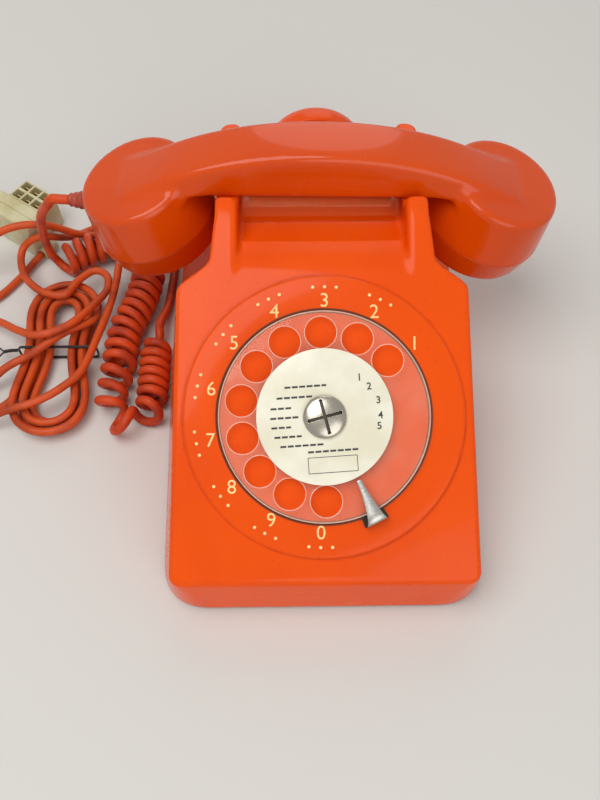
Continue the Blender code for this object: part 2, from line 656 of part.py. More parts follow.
def build_ringer():
    plate = block((0.0900, 0.0800, FRAME_THICK), (0.0, 0.1520, FRAME_TOP - FRAME_THICK / 2))
    frame = put("ringer_frame", plate, steel("ringer_frame"), telephone)
    post = moved(disc(0.0015, FRAME_TOP - 0.0010, 0.0300, 10), shift(0.0, PIVOT_Y))
    combine(frame, post, "UNION", label="pivot post")
    for name, side in (("left", -1), ("right", 1)):
        shell = []
        for share in (0.0, 0.25, 0.5, 0.75):
            angle = share * pi / 2
            shell.append((GONG_RADIUS * cos(angle), GONG_LOW + 0.0110 * sin(angle)))
        inner = [(r - 0.0013 if r > 0.002 else r, z - 0.0013) for r, z in reversed(shell)]
        profile = [(0.0, GONG_LOW + 0.0110 - 0.0013)] + inner + shell + [(0.0, GONG_LOW + 0.0110)]
        put(f"gong_{name}", turned(profile, 18), brass(f"gong_{name}"), telephone,
            shift(side * GONG_X, GONG_Y))
        put(f"gong_post_{name}", disc(0.0030, FRAME_TOP + GAP, GONG_LOW + 0.0110 - 0.0013 - 3 * GAP, 8),
            steel(f"gong_post_{name}"), telephone, shift(side * GONG_X, GONG_Y))
        profile = [(0.0, -0.0120), (COIL_RADIUS, -0.0120), (COIL_RADIUS, -0.0105), (0.0070, -0.0105),
                   (0.0070, 0.0105), (COIL_RADIUS, 0.0105), (COIL_RADIUS, 0.0120), (0.0, 0.0120)]
        put(f"ringer_coil_{name}", turned(profile, 16), finish(f"copper_coil_{name}", (0.45, 0.16, 0.05), 0.45, 0.6),
            telephone, along((0, 1, 0), (side * 0.0150, PIVOT_Y - 0.0040, FRAME_TOP + GAP + COIL_RADIUS)))
    swing = empty("clapper_swing", telephone, shift(0.0, PIVOT_Y))
    level = (0.0245, 0.0275)
    hub = washer(0.0015 + GAP, 0.0040, level[0], level[1], 12)
    clapper = put("clapper", hub, steel("clapper"), swing)
    reach = GONG_Y - PIVOT_Y
    arm = block((0.0022, reach - 0.0030, 0.0016), (0.0, (reach + 0.0030) / 2, sum(level) / 2))
    combine(clapper, arm, "UNION", label="arm")
    ball = turned([(0.0, -0.0030), (0.0021, -0.0021), (0.0030, 0.0), (0.0021, 0.0021), (0.0, 0.0030)], 12)
    combine(clapper, ball, "UNION", shift(0.0, GONG_Y - PIVOT_Y, sum(level) / 2), "ball")
    armature = block((0.0440, 0.0030, 0.0024), (0.0, -0.0035, sum(level) / 2))
    combine(clapper, armature, "UNION", label="armature")
    low = 0.0009
    profile = [(0.0, low), (0.0085, low), (0.0085, PLATE_LOW - GAP), (VOLUME_SHAFT, PLATE_LOW - GAP),
               (VOLUME_SHAFT, FRAME_TOP + 0.0020), (0.0, FRAME_TOP + 0.0020)]
    turn = empty("volume_turn", telephone, shift(*VOLUME_PLACE))
    put("volume_wheel", turned(profile, 20), finish("volume_wheel", (0.05, 0.05, 0.05), 0.5), turn)
    combine(frame, moved(disc(VOLUME_SHAFT + GAP, 0.0, 0.0100, 12), shift(*VOLUME_PLACE)),
            "DIFFERENCE", label="volume hole")


# ================================================================ circuit
BOARD_LOW = 0.0080
BOARD_THICK = 0.0016
BOARD_TOP = BOARD_LOW + BOARD_THICK


def build_circuit():
    board = put("circuit_board", block((0.0900, 0.0600, BOARD_THICK), (0.0, 0.0640, BOARD_LOW + BOARD_THICK / 2)),
                finish("circuit_board", (0.35, 0.22, 0.08), 0.6), telephone)
    legs = [moved(disc(0.0030, PLATE_TOP + GAP, BOARD_LOW + 0.0004, 8), shift(x, 0.0640 + y))
            for x in (-0.0400, 0.0400) for y in (-0.0250, 0.0250)]
    combine(board, merged(*legs), "UNION", label="legs")
    seat = BOARD_TOP + GAP
    put("induction_coil", block((0.0240, 0.0200, 0.0180), (0.0240, 0.0760, seat + 0.0090)),
        finish("induction_coil", (0.30, 0.16, 0.08), 0.5), telephone)
    can = moved(disc(0.0070, -0.0130, 0.0130, 16), along((0, 1, 0), (-0.0260, 0.0720, seat + 0.0070)))
    put("capacitor", can, finish("capacitor", (0.55, 0.55, 0.52), 0.35, 0.8), telephone)
    terminals = put("terminal_block", block((0.0420, 0.0100, 0.0090), (0.0, 0.0440, seat + 0.0045)),
                    finish("terminal_block", (0.75, 0.70, 0.58), 0.5), telephone)
    notches = [block((0.0040, 0.0140, 0.0060), (0.0070 * i, 0.0440, seat + 0.0090)) for i in (-2, -1, 0, 1, 2)]
    combine(terminals, merged(*notches), "DIFFERENCE", label="notches")


# ================================================================ handset
CAP_GAP = SEAM_DROP + GAP


def cup_frame(side):
    """Local -Z runs down the cup from the middle of its flat top."""
    axis = Vector((-side * sin(CUP_TILT), 0.0, -cos(CUP_TILT)))
    return along(-axis, (side * CUP_X, HANDLE_Y, CUP_TOP))


def handle_top(x):
    return HANDLE_TOP - HANDLE_ARCH * x * x


def handle_ring(x, top, low, half_top, half_low):
    outline = [(-half_low, low + 0.0035), (-half_top, top - 0.0018), (-0.4 * half_top, top - 0.0003),
               (0.4 * half_top, top - 0.0003), (half_top, top - 0.0018), (half_low, low + 0.0035),
               (half_low - 0.0035, low), (-half_low + 0.0035, low)]
    return [(x, HANDLE_Y + y, z) for y, z in outline]


def build_handset():
    sections = [(0.0880, 0.0936, 0.0790), (0.0740, 0.1012, 0.0880), (0.0620, 0.1078, 0.0950),
                (0.0500, handle_top(0.0500), HANDLE_BOTTOM), (0.0340, handle_top(0.0340), HANDLE_BOTTOM),
                (0.0170, handle_top(0.0170), HANDLE_BOTTOM)]
    rings = [handle_ring(-x, top, low, HANDLE_HALF_TOP, HANDLE_HALF_LOW) for x, top, low in sections]
    rings.append(handle_ring(0.0, HANDLE_TOP, HANDLE_BOTTOM, HANDLE_HALF_TOP, HANDLE_HALF_LOW))
    rings += [handle_ring(x, top, low, HANDLE_HALF_TOP, HANDLE_HALF_LOW) for x, top, low in reversed(sections)]
    shell = put("handset_shell", lofted(rings), orange("orange_handset"), telephone)
    outer = [(0.0, 0.0), (CUP_RADIUS - 0.0030, -0.0001), (CUP_RADIUS - 0.0008, -0.0010), (CUP_RADIUS, -CUP_SHOULDER),
             (SEAM_RADIUS, -SEAM_DROP), (0.0, -SEAM_DROP)]
    hollow_radius = CAPSULE_RADIUS + 0.0010
    hollow = [(0.0, -SEAM_DROP - 0.0050), (hollow_radius, -SEAM_DROP - 0.0050),
              (hollow_radius, -0.0090), (hollow_radius - 0.0050, -0.0050), (0.0, -0.0050)]
    for side in (-1, 1):
        combine(shell, turned(outer, 26), "UNION", cup_frame(side), f"cup {side}")
    for side in (-1, 1):
        combine(shell, turned(list(reversed(hollow)), 16), "DIFFERENCE", cup_frame(side), f"hollow {side}")
    for name, capsule, side in (("mouth_cap", "microphone_capsule", -1), ("ear_cap", "receiver_capsule", 1)):
        bottom = -CUP_DROP
        inner = CAPSULE_RADIUS + 0.0012
        profile = [(0.0, bottom + 0.0012), (0.0150, bottom + 0.0006), (CAP_RADIUS - 0.0030, bottom),
                   (CAP_RADIUS - 0.0008, bottom + 0.0012), (CAP_RADIUS, bottom + 0.0032), (SEAM_RADIUS, -CAP_GAP),
                   (inner, -CAP_GAP), (inner, bottom + 0.0034), (0.0, bottom + 0.0034)]
        put(name, turned(profile, 26), orange(f"orange_{name}"), telephone, cup_frame(side))
        low = bottom + 0.0034 + GAP
        profile = [(0.0, low), (CAPSULE_RADIUS - 0.0020, low), (CAPSULE_RADIUS, low + 0.0020),
                   (CAPSULE_RADIUS, low + 0.0110), (CAPSULE_RADIUS - 0.0050, low + 0.0150), (0.0, low + 0.0150)]
        put(capsule, turned(profile, 16), finish(capsule, (0.10, 0.10, 0.10), 0.5, 0.3), telephone, cup_frame(side))


# ================================================================ second earpiece
def build_earpiece():
    place = along((0, 1, 0), (0.0, EAR_FACE, EAR_Z))
    groove = EAR_CAP_THICK
    shell_low = groove + EAR_GROOVE
    inner = EAR_RADIUS - CUP_WALL
    profile = [(0.0, 0.0012), (0.0170, 0.0006), (EAR_RADIUS - 0.0028, 0.0), (EAR_RADIUS - 0.0006, 0.0012),
               (EAR_RADIUS, 0.0030), (EAR_RADIUS, groove - 0.0008), (EAR_RADIUS - 0.0008, groove - GAP),
               (0.0150, groove - GAP), (0.0150, 0.0034), (0.0, 0.0034)]
    put("earpiece_cap", turned(profile, 24), orange("orange_earpiece_cap"), telephone, place)
    top = shell_low + EAR_DEPTH
    profile = [(0.0110, groove), (EAR_GROOVE_RADIUS - 0.0006, groove), (EAR_GROOVE_RADIUS - 0.0006, shell_low),
               (EAR_RADIUS - 0.0008, shell_low), (EAR_RADIUS, shell_low + 0.0010),
               (EAR_RADIUS, shell_low + 0.0060), (0.0252, shell_low + 0.0110), (0.0215, shell_low + 0.0150),
               (0.0160, top - 0.0012), (0.0090, top), (0.0, top), (0.0, top - CUP_WALL),
               (0.0140, top - 0.0012 - CUP_WALL), (0.0200, shell_low + 0.0110), (0.0220, shell_low + 0.0060),
               (0.0220, shell_low + 0.0040), (0.0110, shell_low + 0.0040)]
    put("earpiece_shell", turned_shell(profile, 24), orange("orange_earpiece"), telephone, place)
    profile = [(0.0, 0.0034 + GAP), (0.0105, 0.0034 + GAP), (0.0105, shell_low + 0.0040 + GAP),
               (0.0190, shell_low + 0.0040 + GAP), (0.0190, shell_low + 0.0060), (0.0105, shell_low + 0.0095),
               (0.0, shell_low + 0.0095)]
    put("earpiece_capsule", turned(profile, 16), finish("earpiece_capsule", (0.1, 0.1, 0.1), 0.5, 0.3),
        telephone, place)

    low_z, half = EAR_Z - EAR_RADIUS - 0.0010, 0.0290
    notch = EAR_GROOVE_RADIUS + GAP
    outline = []
    for step in range(7):
        angle = pi + pi * step / 6
        outline.append((half * cos(angle), EAR_Z + half * sin(angle)))
    for step in range(13):
        angle = 2 * pi - pi * step / 12
        outline.append((notch * cos(angle), EAR_Z + notch * sin(angle)))
    rings = [[(x, y, z) for x, z in outline] for y in (FORK_Y, FORK_Y + FORK_THICK)]
    fork = put("earpiece_hook", lofted(rings), orange("orange_hook"), telephone)
    root_y = rear_y(low_z) + GAP
    rib_top = EAR_Z - EAR_RADIUS - 0.0006
    rib = block((0.0200, FORK_Y + FORK_THICK - root_y - 0.0002, 0.0030), (0.0, 0.0, rib_top - 0.0015))
    combine(fork, rib, "UNION", shift(0.0, (FORK_Y + FORK_THICK - 0.0002 + root_y) / 2, 0.0), "rib")


def turned_shell(profile, steps):
    """A hollow turned shape: the profile runs out along one side and back."""
    bm = bmesh.new()
    rows = []
    for radius, height in profile:
        if radius == 0.0:
            rows.append([bm.verts.new((0.0, 0.0, height))])
        else:
            rows.append([bm.verts.new((radius * cos(2 * pi * i / steps), radius * sin(2 * pi * i / steps), height))
                         for i in range(steps)])
    for low, high in zip(rows, rows[1:] + rows[:1]):
        if len(low) == 1 and len(high) == 1:
            continue
        skin(bm, low, high)
    return bm


# ================================================================ cords
def smooth_path(points, spacing):
    """Points at an even spacing on a smooth curve through the chosen ones."""
    points = [Vector(p) for p in points]
    ends = [2 * points[0] - points[1]] + points + [2 * points[-1] - points[-2]]
    dense = []
    for a, b, c, d in zip(ends, ends[1:], ends[2:], ends[3:]):
        for step in range(24):
            t = step / 24
            dense.append(0.5 * (2 * b + (c - a) * t + (2 * a - 5 * b + 4 * c - d) * t * t
                                + (3 * b - a - 3 * c + d) * t ** 3))
    dense.append(points[-1])
    lengths = [0.0]
    for p, q in zip(dense, dense[1:]):
        lengths.append(lengths[-1] + (q - p).length)
    count = max(2, round(lengths[-1] / spacing))
    result, k = [], 0
    for i in range(count + 1):
        target = lengths[-1] * i / count
        while k < len(dense) - 2 and lengths[k + 1] < target:
            k += 1
        share = (target - lengths[k]) / max(lengths[k + 1] - lengths[k], 1e-9)
        result.append(dense[k].lerp(dense[k + 1], min(share, 1.0)))
    return result


def on_table(points, diameter):
    """No point of a cord lies lower than the table lets it."""
    for point in points:
        point.z = max(point.z, diameter / 2 + 0.0001)
    return points


def path_length(points):
    return sum((q - p).length for p, q in zip(points, points[1:]))


def least_gap(points, diameter):
    """The smallest gap between stretches of a tube that are not neighbours."""
    along_path = [0.0]
    for p, q in zip(points, points[1:]):
        along_path.append(along_path[-1] + (q - p).length)
    least = 1.0
    for i in range(len(points) - 1):
        for j in range(i + 2, len(points) - 1):
            if along_path[j] - along_path[i + 1] < 3.2 * diameter:
                continue
            if (points[i] - points[j]).length > 4 * diameter:
                continue
            least = min(least, segment_gap(points[i], points[i + 1], points[j], points[j + 1]))
    return least - diameter


def segment_gap(a, b, c, d):
    """Closest distance between two short segments, by sampling one of them."""
    best = 1.0
    for step in range(5):
        p = a.lerp(b, step / 4)
        span = d - c
        t = max(0.0, min(1.0, (p - c).dot(span) / span.length_squared))
        best = min(best, (c + span * t - p).length)
    return best


def tube(name, points, diameter, resolution, material):
    curve = bpy.data.curves.new(name, "CURVE")
    curve.dimensions = "3D"
    curve.bevel_depth = diameter / 2
    curve.bevel_resolution = resolution
    curve.use_fill_caps = True
    spline = curve.splines.new("POLY")
    spline.points.add(len(points) - 1)
    for knot, point in zip(spline.points, points):
        knot.co = (*point, 1.0)
    curve.materials.append(material)
    node = bpy.data.objects.new(name, curve)
    bpy.context.collection.objects.link(node)
    node.parent = telephone
    return node


CORD_COLOUR = (0.52, 0.09, 0.03)
MM = 0.001


def place(points):
    """Route points are chosen in millimetres."""
    return [Vector(point) * MM for point in points]


# -------- glands where the cords leave the casing and the handset
GLAND_LENGTH = 0.0080
GLAND_BODY = 0.0046
BOOT_LENGTH = 0.0100
BOOT_RADIUS = 0.0050
BOOT_DROP = 0.0120          # down the side of the cup
BOOT_TURN = radians(187.0)  # round the cup, from its inner side


def boot_frame():
    """Z points square out of the cup's conical side."""
    flare = atan2(SEAM_RADIUS - CUP_RADIUS, SEAM_DROP - CUP_SHOULDER)
    radius = CUP_RADIUS + (BOOT_DROP - CUP_SHOULDER) * tan(flare)
    out = Vector((cos(BOOT_TURN), -sin(BOOT_TURN), 0.0))
    normal = out * cos(flare) + Vector((0.0, 0.0, sin(flare)))
    seat = out * radius + Vector((0.0, 0.0, -BOOT_DROP)) + normal * GAP
    return cup_frame(-1) @ along(normal, seat)


BOOT_FRAME = boot_frame()


def gland_mouth(name):
    return Vector((GLAND_PLACES[name], rear_y(GLAND_Z) + GLAND_LENGTH, GLAND_Z))


def build_glands():
    inside = -WALL - 0.0020
    for name, cord in (("line", LINE_CORD), ("handset", CURLY_CORD), ("earpiece", LINE_CORD)):
        profile = [(0.0, inside), (GLAND_HOLE - GAP, inside), (GLAND_HOLE - GAP, 0.0012),
                   (GLAND_BODY, 0.0012), (GLAND_BODY, 0.0032), (cord / 2 + 0.0008, GLAND_LENGTH),
                   (0.0, GLAND_LENGTH)]
        put(f"{name}_gland", turned(profile, 12), finish(f"{name}_gland", CORD_COLOUR, 0.6),
            telephone, along((0, 1, 0), (GLAND_PLACES[name], rear_y(GLAND_Z), GLAND_Z)))
    profile = [(0.0, 0.0), (BOOT_RADIUS, 0.0), (0.0046, 0.0040), (CURLY_CORD / 2 + 0.0009, BOOT_LENGTH),
               (0.0, BOOT_LENGTH)]
    put("handset_boot", turned(profile, 16), finish("handset_boot", CORD_COLOUR, 0.5), telephone,
        BOOT_FRAME)


# -------- curly handset cord
CURL_Z = CURL_RADIUS + CURLY_CORD / 2 + 0.0001
RETURN_RADIUS = 0.0060      # narrower curls on the way back along the casing
RETURN_Z = RETURN_RADIUS + CURLY_CORD / 2 + 0.0001


def curly_axis():
    """The line that the curls wind round, on the table, and on to the casing."""
    coil = [(-144.0, 191.5), (-130.0, 201.5), (-114.0, 207.0), (-100.5, 202.0), (-93.5, 188.0),
            (-94.5, 173.0), (-97.7, 160.0), (-101.7, 149.0), (-103.2, 137.0), (-103.7, 124.0)]
    back = [(-105.6, 111.0), (-105.3, 100.0), (-99.0, 92.6), (-90.5, 93.1), (-85.6, 100.5),
            (-85.2, 112.0), (-85.2, 126.0), (-85.0, 140.0), (-84.2, 153.0)]
    tail = place([(-81.6, 168.0, 3.4), (-80.0, 190.0, 2.8), (-78.8, 212.0, 2.8), (-73.0, 229.0, 3.0),
                  (-63.0, 242.0, 5.0)])
    return ([Vector((x * MM, y * MM, CURL_Z)) for x, y in coil]
            + [Vector((x * MM, y * MM, RETURN_Z)) for x, y in back] + tail
            + straight_end(gland_mouth("handset"), Vector((0.0, 1.0, 0.0)), CURLY_CORD))


def straight_end(mouth, direction, diameter):
    """Three points that bring a cord square into what it meets."""
    return [mouth + direction * (GAP + run * diameter) for run in (2.0, 1.0, 0.0)]


def ease(share):
    share = min(max(share, 0.0), 1.0)
    return share * share * (3 - 2 * share)


def curly_points():
    """The cord hangs down to its first curl; the curls open where the coil bends."""
    axis = smooth_path(curly_axis(), 0.0008)
    total = path_length(axis)
    step = total / (len(axis) - 1)
    last, fade = total - TAIL_LENGTH, 0.0100
    side = Vector((0.0, 0.0, 1.0))
    phase, next_phase, points = FIRST_CURL, FIRST_CURL, []
    for i, point in enumerate(axis):
        here = i * step
        tangent = (axis[min(i + 1, len(axis) - 1)] - axis[max(i - 1, 0)]).normalized()
        side = (side - tangent * side.dot(tangent)).normalized()
        across = side.cross(tangent)
        near, far = axis[max(i - 8, 0)], axis[min(i + 8, len(axis) - 1)]
        bend = 4 * (near + far - 2 * point).length / max((far - near).length_squared, 1e-12)
        wide = CURL_RADIUS + (RETURN_RADIUS - CURL_RADIUS) * ease((here - NARROWING) / 0.0150)
        pitch = CURL_PITCH / max(1.0 - wide * bend, 0.40)
        pitch *= 1.0 + SLACK * max(0.0, 1.0 - abs(here - SLACK_AT) / 0.0400)
        radius = wide * ease((last - here) / fade)
        if radius == 0.0:
            if i % 12 == 0 or i in (len(axis) - 7, len(axis) - 1):
                points.append(point.copy())
            continue
        if phase >= next_phase:
            points.append(point + radius * (side * cos(phase) + across * sin(phase)))
            next_phase += 2 * pi / CURL_POINTS
        phase += 2 * pi * step / pitch
    hanging = list(reversed(straight_end(BOOT_FRAME @ Vector((0.0, 0.0, BOOT_LENGTH)),
                                         BOOT_FRAME.to_3x3() @ Vector((0.0, 0.0, 1.0)), CURLY_CORD)))
    hanging += place([(-134.0, 182.0, 66.0), (-140.0, 187.5, 50.0), (-145.5, 193.0, 34.0), (-148.5, 196.8, 21.0)])
    return smooth_path(hanging + points[:1], CURLY_CORD)[:-1] + points


TAIL_LENGTH = 0.1250        # plain cord after the last curl
FIRST_CURL = radians(75.0)
NARROWING = 0.1300
SLACK = 0.50                # how far the curls stand apart near the bend
SLACK_AT = 0.1450


# -------- tied line cord
HANK_CENTRE = (-0.1375, 0.1320)
HANK_LOW = LINE_CORD / 2 + 0.0010
HANK_LAYER = LINE_CORD + 0.0005
HANK_HALF = 0.0353
HANK_START = radians(325.0)
HANK_TURNS = 4.389
HANK_INNER = 2.347          # the turn that is innermost, where it climbs down
HANK_WAIST = 0.0048
HANK_SWELL = 0.0120
HANK_LEAN = 0.12
HANK_PITCH = LINE_CORD + 0.0011


def hank_base(t):
    """The innermost loop, drawn in where it is tied, as a point for each angle t."""
    return (HANK_HALF * cos(t), sin(t) * (HANK_WAIST + HANK_SWELL * (cos(t) - HANK_LEAN) ** 2))


def hank_point(turn):
    t = HANK_START + 2 * pi * turn
    ring = abs(turn - HANK_INNER) * HANK_PITCH
    layer = 1.0 - ease((turn - HANK_INNER + 0.25) / 0.5)
    u0, v0 = hank_base(t - 0.01)
    u1, v1 = hank_base(t + 0.01)
    u, v = hank_base(t)
    length = sqrt((u1 - u0) ** 2 + (v1 - v0) ** 2)
    u += ring * (v1 - v0) / length
    v -= ring * (u1 - u0) / length
    return Vector((HANK_CENTRE[0] - v, HANK_CENTRE[1] + u, HANK_LOW + layer * HANK_LAYER))


def hank_points():
    count = round(HANK_TURNS * HANK_POINTS)
    points = [hank_point(HANK_TURNS * i / count) for i in range(count + 1)]
    return points


def butt(end, inner, diameter):
    """Two points that carry a tube straight on from an end, a gap away from it."""
    direction = (end - inner).normalized()
    start = end + direction * GAP
    return [start, start + direction * diameter]


PLUG_ALONG = Vector((0.815, -0.580, 0.0)).normalized()
PLUG_CORNER = Vector((-0.1600, 0.2046, 0.0))      # front right corner, on the table
PLUG_SIZE = (0.0460, 0.0140, 0.0240)
OUTLET_RADIUS = 0.0033


def plug_frame():
    """X along the plug's long face, Y away from the viewer, Z up."""
    back = Vector((-PLUG_ALONG.y, PLUG_ALONG.x, 0.0))
    frame = Matrix((PLUG_ALONG, back, Vector((0.0, 0.0, 1.0)))).transposed().to_4x4()
    return Matrix.Translation(PLUG_CORNER) @ frame


OUTLET_PLACE = (OUTLET_RADIUS - 0.0004, 0.0020, OUTLET_RADIUS + 0.0008)


def lead_route(hank_start, hank_next):
    first = list(reversed(straight_end(gland_mouth("line"), Vector((0.0, 1.0, 0.0)), LINE_CORD)))
    route = place([(-37.0, 246.0, 5.5), (-55.0, 251.0, 2.4), (-76.0, 249.0, 2.6), (-91.0, 240.0, 8.0),
                   (-99.0, 228.0, 17.0), (-103.5, 215.0, 24.0), (-105.5, 202.0, 24.5), (-107.5, 190.0, 19.5),
                   (-109.5, 177.0, 14.0), (-111.5, 162.0, 12.6), (-115.6, 143.0, 12.8), (-121.6, 121.0, 12.8),
                   (-130.9, 110.0, 12.8), (-142.0, 102.5, 12.8), (-152.5, 98.5, 12.8), (-162.0, 96.0, 11.0),
                   (-171.0, 93.5, 6.5), (-180.0, 92.0, 3.0), (-189.5, 94.0, 2.4), (-195.0, 101.0, 2.4), (-190.5, 109.0, 2.4),
                   (-179.5, 112.0, 4.0), (-169.0, 117.5, 8.6), (-160.5, 123.0, 12.6), (-150.5, 129.0, 13.5),
                   (-142.5, 135.5, 13.8), (-135.0, 142.0, 13.8), (-127.5, 146.5, 13.6), (-121.5, 150.5, 12.6),
                   (-118.9, 155.0, 10.0)])
    return first + route + list(reversed(butt(hank_start, hank_next, LINE_CORD)))


def tail_route(hank_end, hank_before):
    outlet = plug_frame() @ Vector((OUTLET_PLACE[0], OUTLET_PLACE[1] - GAP, OUTLET_PLACE[2]))
    straight = plug_frame() @ Vector((OUTLET_PLACE[0], OUTLET_PLACE[1] - GAP - LINE_CORD, OUTLET_PLACE[2]))
    route = place([(-157.0, 113.0, 2.6), (-163.5, 104.5, 2.6), (-173.0, 101.5, 3.6), (-184.0, 101.5, 7.2),
                   (-195.5, 102.0, 8.2), (-207.0, 108.0, 6.0), (-213.0, 121.0, 4.0), (-209.5, 138.0, 4.0),
                   (-198.0, 151.5, 5.0), (-184.0, 156.5, 7.5), (-170.9, 153.0, 10.0), (-158.0, 144.0, 15.0),
                   (-146.3, 138.5, 18.4), (-134.2, 142.3, 18.6), (-126.0, 149.0, 18.2), (-119.0, 160.0, 16.0),
                   (-115.8, 171.0, 13.4), (-116.5, 179.5, 12.8), (-122.0, 182.0, 12.8), (-128.5, 176.5, 12.8),
                   (-137.0, 168.5, 12.8), (-149.0, 170.5, 12.8), (-159.3, 179.5, 12.4), (-164.6, 191.5, 12.0),
                   (-163.9, 200.0, 14.5), (-157.5, 202.6, 19.0), (-150.5, 203.6, 20.0), (-146.0, 207.0, 15.5),
                   (-142.2, 213.0, 8.5), (-137.8, 218.6, 4.0), (-129.7, 224.7, 2.4), (-118.0, 230.0, 2.4),
                   (-106.0, 231.0, 2.4), (-99.5, 225.0, 2.4), (-104.0, 219.8, 2.4), (-114.0, 219.6, 2.6),
                   (-124.0, 217.5, 5.0), (-131.5, 214.2, 9.0), (-137.0, 211.2, 14.0), (-142.8, 208.8, 20.5),
                   (-149.0, 206.0, 26.5), (-160.5, 203.4, 29.5), (-172.3, 200.0, 28.0), (-184.0, 195.0, 22.0),
                   (-192.0, 186.5, 13.0), (-192.0, 176.0, 5.5), (-185.5, 171.0, 2.6), (-176.9, 175.5, 2.5),
                   (-167.7, 187.9, 2.6)])
    return butt(hank_end, hank_before, LINE_CORD) + route + [straight, outlet]


def build_plug():
    frame = plug_frame()
    length, depth, height = PLUG_SIZE
    ivory = (0.60, 0.55, 0.36)
    body = put("plug_body", block(PLUG_SIZE, (-length / 2, depth / 2, height / 2)),
               finish("ivory_plug", ivory, 0.45), telephone, frame)
    rebevel(body, 0.0012, 2)
    outlet = moved(disc(OUTLET_RADIUS, 0.0, 0.0095, 14), along((0, 1, 0), OUTLET_PLACE))
    combine(body, outlet, "UNION", frame, "cord outlet")
    size = (0.0230, 0.0145, 0.0215)
    centre = (-0.0064 - size[0] / 2, depth + GAP + size[1] / 2, size[2] / 2 + 0.0005)
    contact = put("plug_contact_block", block(size, centre), finish("ivory_contacts", ivory, 0.5), telephone, frame)
    cells = [block((0.0058, 0.0052, 0.0120),
                   (centre[0] + (i - 1) * 0.0071, centre[1] + (j - 0.5) * 0.0068, size[2] + 0.0005 - 0.0040))
             for i in range(3) for j in range(2)]
    combine(contact, merged(*cells), "DIFFERENCE", frame, "cells")


def build_tie():
    """A flat wire tie round the waist of the hank, its twist lying on top."""
    low, high = 0.0001, HANK_LOW + HANK_LAYER + LINE_CORD / 2 + 0.0010
    wide, thick = TIE_WIDTH, TIE_THICK
    reach = HANK_WAIST + HANK_PITCH * HANK_INNER + LINE_CORD / 2 + 0.0016
    y = HANK_CENTRE[1] + HANK_HALF * HANK_LEAN
    outer = loop_outline(reach, low, high, 0.0030)
    inner = loop_outline(reach - thick, low + thick, high - thick, 0.0030 - thick)
    band = lofted([[(x, yy, z) for x, z in outer] for yy in (-wide / 2, wide / 2)])
    tie = put("cord_tie", band, finish("black_tie", (0.02, 0.02, 0.02), 0.4), telephone,
              shift(HANK_CENTRE[0], y))
    hole = lofted([[(x, yy, z) for x, z in inner] for yy in (-wide, wide)])
    combine(tie, hole, "DIFFERENCE", shift(HANK_CENTRE[0], y), "loop")


TIE_WIDTH = 0.0016
TIE_THICK = 0.0007


def loop_outline(half, low, high, corner):
    points = []
    for quarter, (x, z) in enumerate(((half - corner, low + corner), (half - corner, high - corner),
                                      (-half + corner, high - corner), (-half + corner, low + corner))):
        for step in range(4):
            angle = radians(90.0) * (quarter - 1 + step / 3)
            points.append((x + corner * cos(angle), z + corner * sin(angle)))
    return points


def squared(route, samples, diameter):
    """Make a tube's first and last stretch one diameter long and straight."""
    start, end = route[0], route[-1]
    first = start + (route[1] - start).normalized() * diameter
    last = end + (route[-2] - end).normalized() * diameter
    inner = [p for p in samples if min((p - start).length, (p - end).length) > 1.7 * diameter]
    return [start, first] + inner + [last, end]


def build_cords():
    points = curly_points()
    tube("handset_cord", points, CURLY_CORD, 1, finish("curly_cord", CORD_COLOUR, 0.45))
    print("handset cord length", round(path_length(points), 3),
          "least gap to itself", round(least_gap(points, CURLY_CORD), 5))
    hank = hank_points()
    tube("line_cord_hank", hank, LINE_CORD, 1, finish("hank_cord", CORD_COLOUR, 0.45))
    stretches = []
    for route in (lead_route(hank[0], hank[1]), tail_route(hank[-1], hank[-2])):
        samples = on_table(smooth_path(route, 2.2 * LINE_CORD), LINE_CORD)
        stretches.append(squared(route, samples, LINE_CORD))
    lead, tail = stretches
    tube("line_cord", lead, LINE_CORD, 1, finish("line_cord", CORD_COLOUR, 0.45))
    tube("line_cord_end", tail, LINE_CORD, 1, finish("line_cord_end", CORD_COLOUR, 0.45))
    for name, stretch in (("line cord", lead), ("hank", hank), ("line cord end", tail)):
        print(name, "length", round(path_length(stretch), 3), "points", len(stretch),
              "least gap to itself", round(least_gap(stretch, LINE_CORD), 5))
    print("least gaps between stretches", round(gap_between(lead, hank, LINE_CORD), 5),
          round(gap_between(hank, tail, LINE_CORD), 5), round(gap_between(lead, tail, LINE_CORD), 5))


def gap_between(one, other, diameter):
    """The smallest gap between two tubes, away from where they meet end to end."""
    least = 1.0
    for i in range(1, len(one) - 3):
        for j in range(3, len(other) - 1):
            if (one[i] - other[j]).length < 5 * diameter:
                least = min(least, segment_gap(one[i], one[i + 1], other[j], other[j + 1]))
    return least - diameter


OVERALL_DEPTH = EAR_FACE + EAR_CAP_THICK + EAR_GROOVE + EAR_DEPTH
telephone = empty("telephone", matrix=shift(y=-OVERALL_DEPTH / 2))
build_housing()
build_base()
build_dial()
build_hook()
build_ringer()
build_circuit()
build_handset()
build_earpiece()
build_glands()
build_plug()
build_tie()
build_cords()
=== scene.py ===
# Dial telephone with a second earpiece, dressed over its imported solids.
# Lengths are metres. Pieces are laid out from the casing's front edge, y = 0, and at() moves
# them into the frame, where the origin lies under the middle of the telephone.

import json
import math

import bmesh
import bpy
import numpy as np
from mathutils import Matrix, Vector


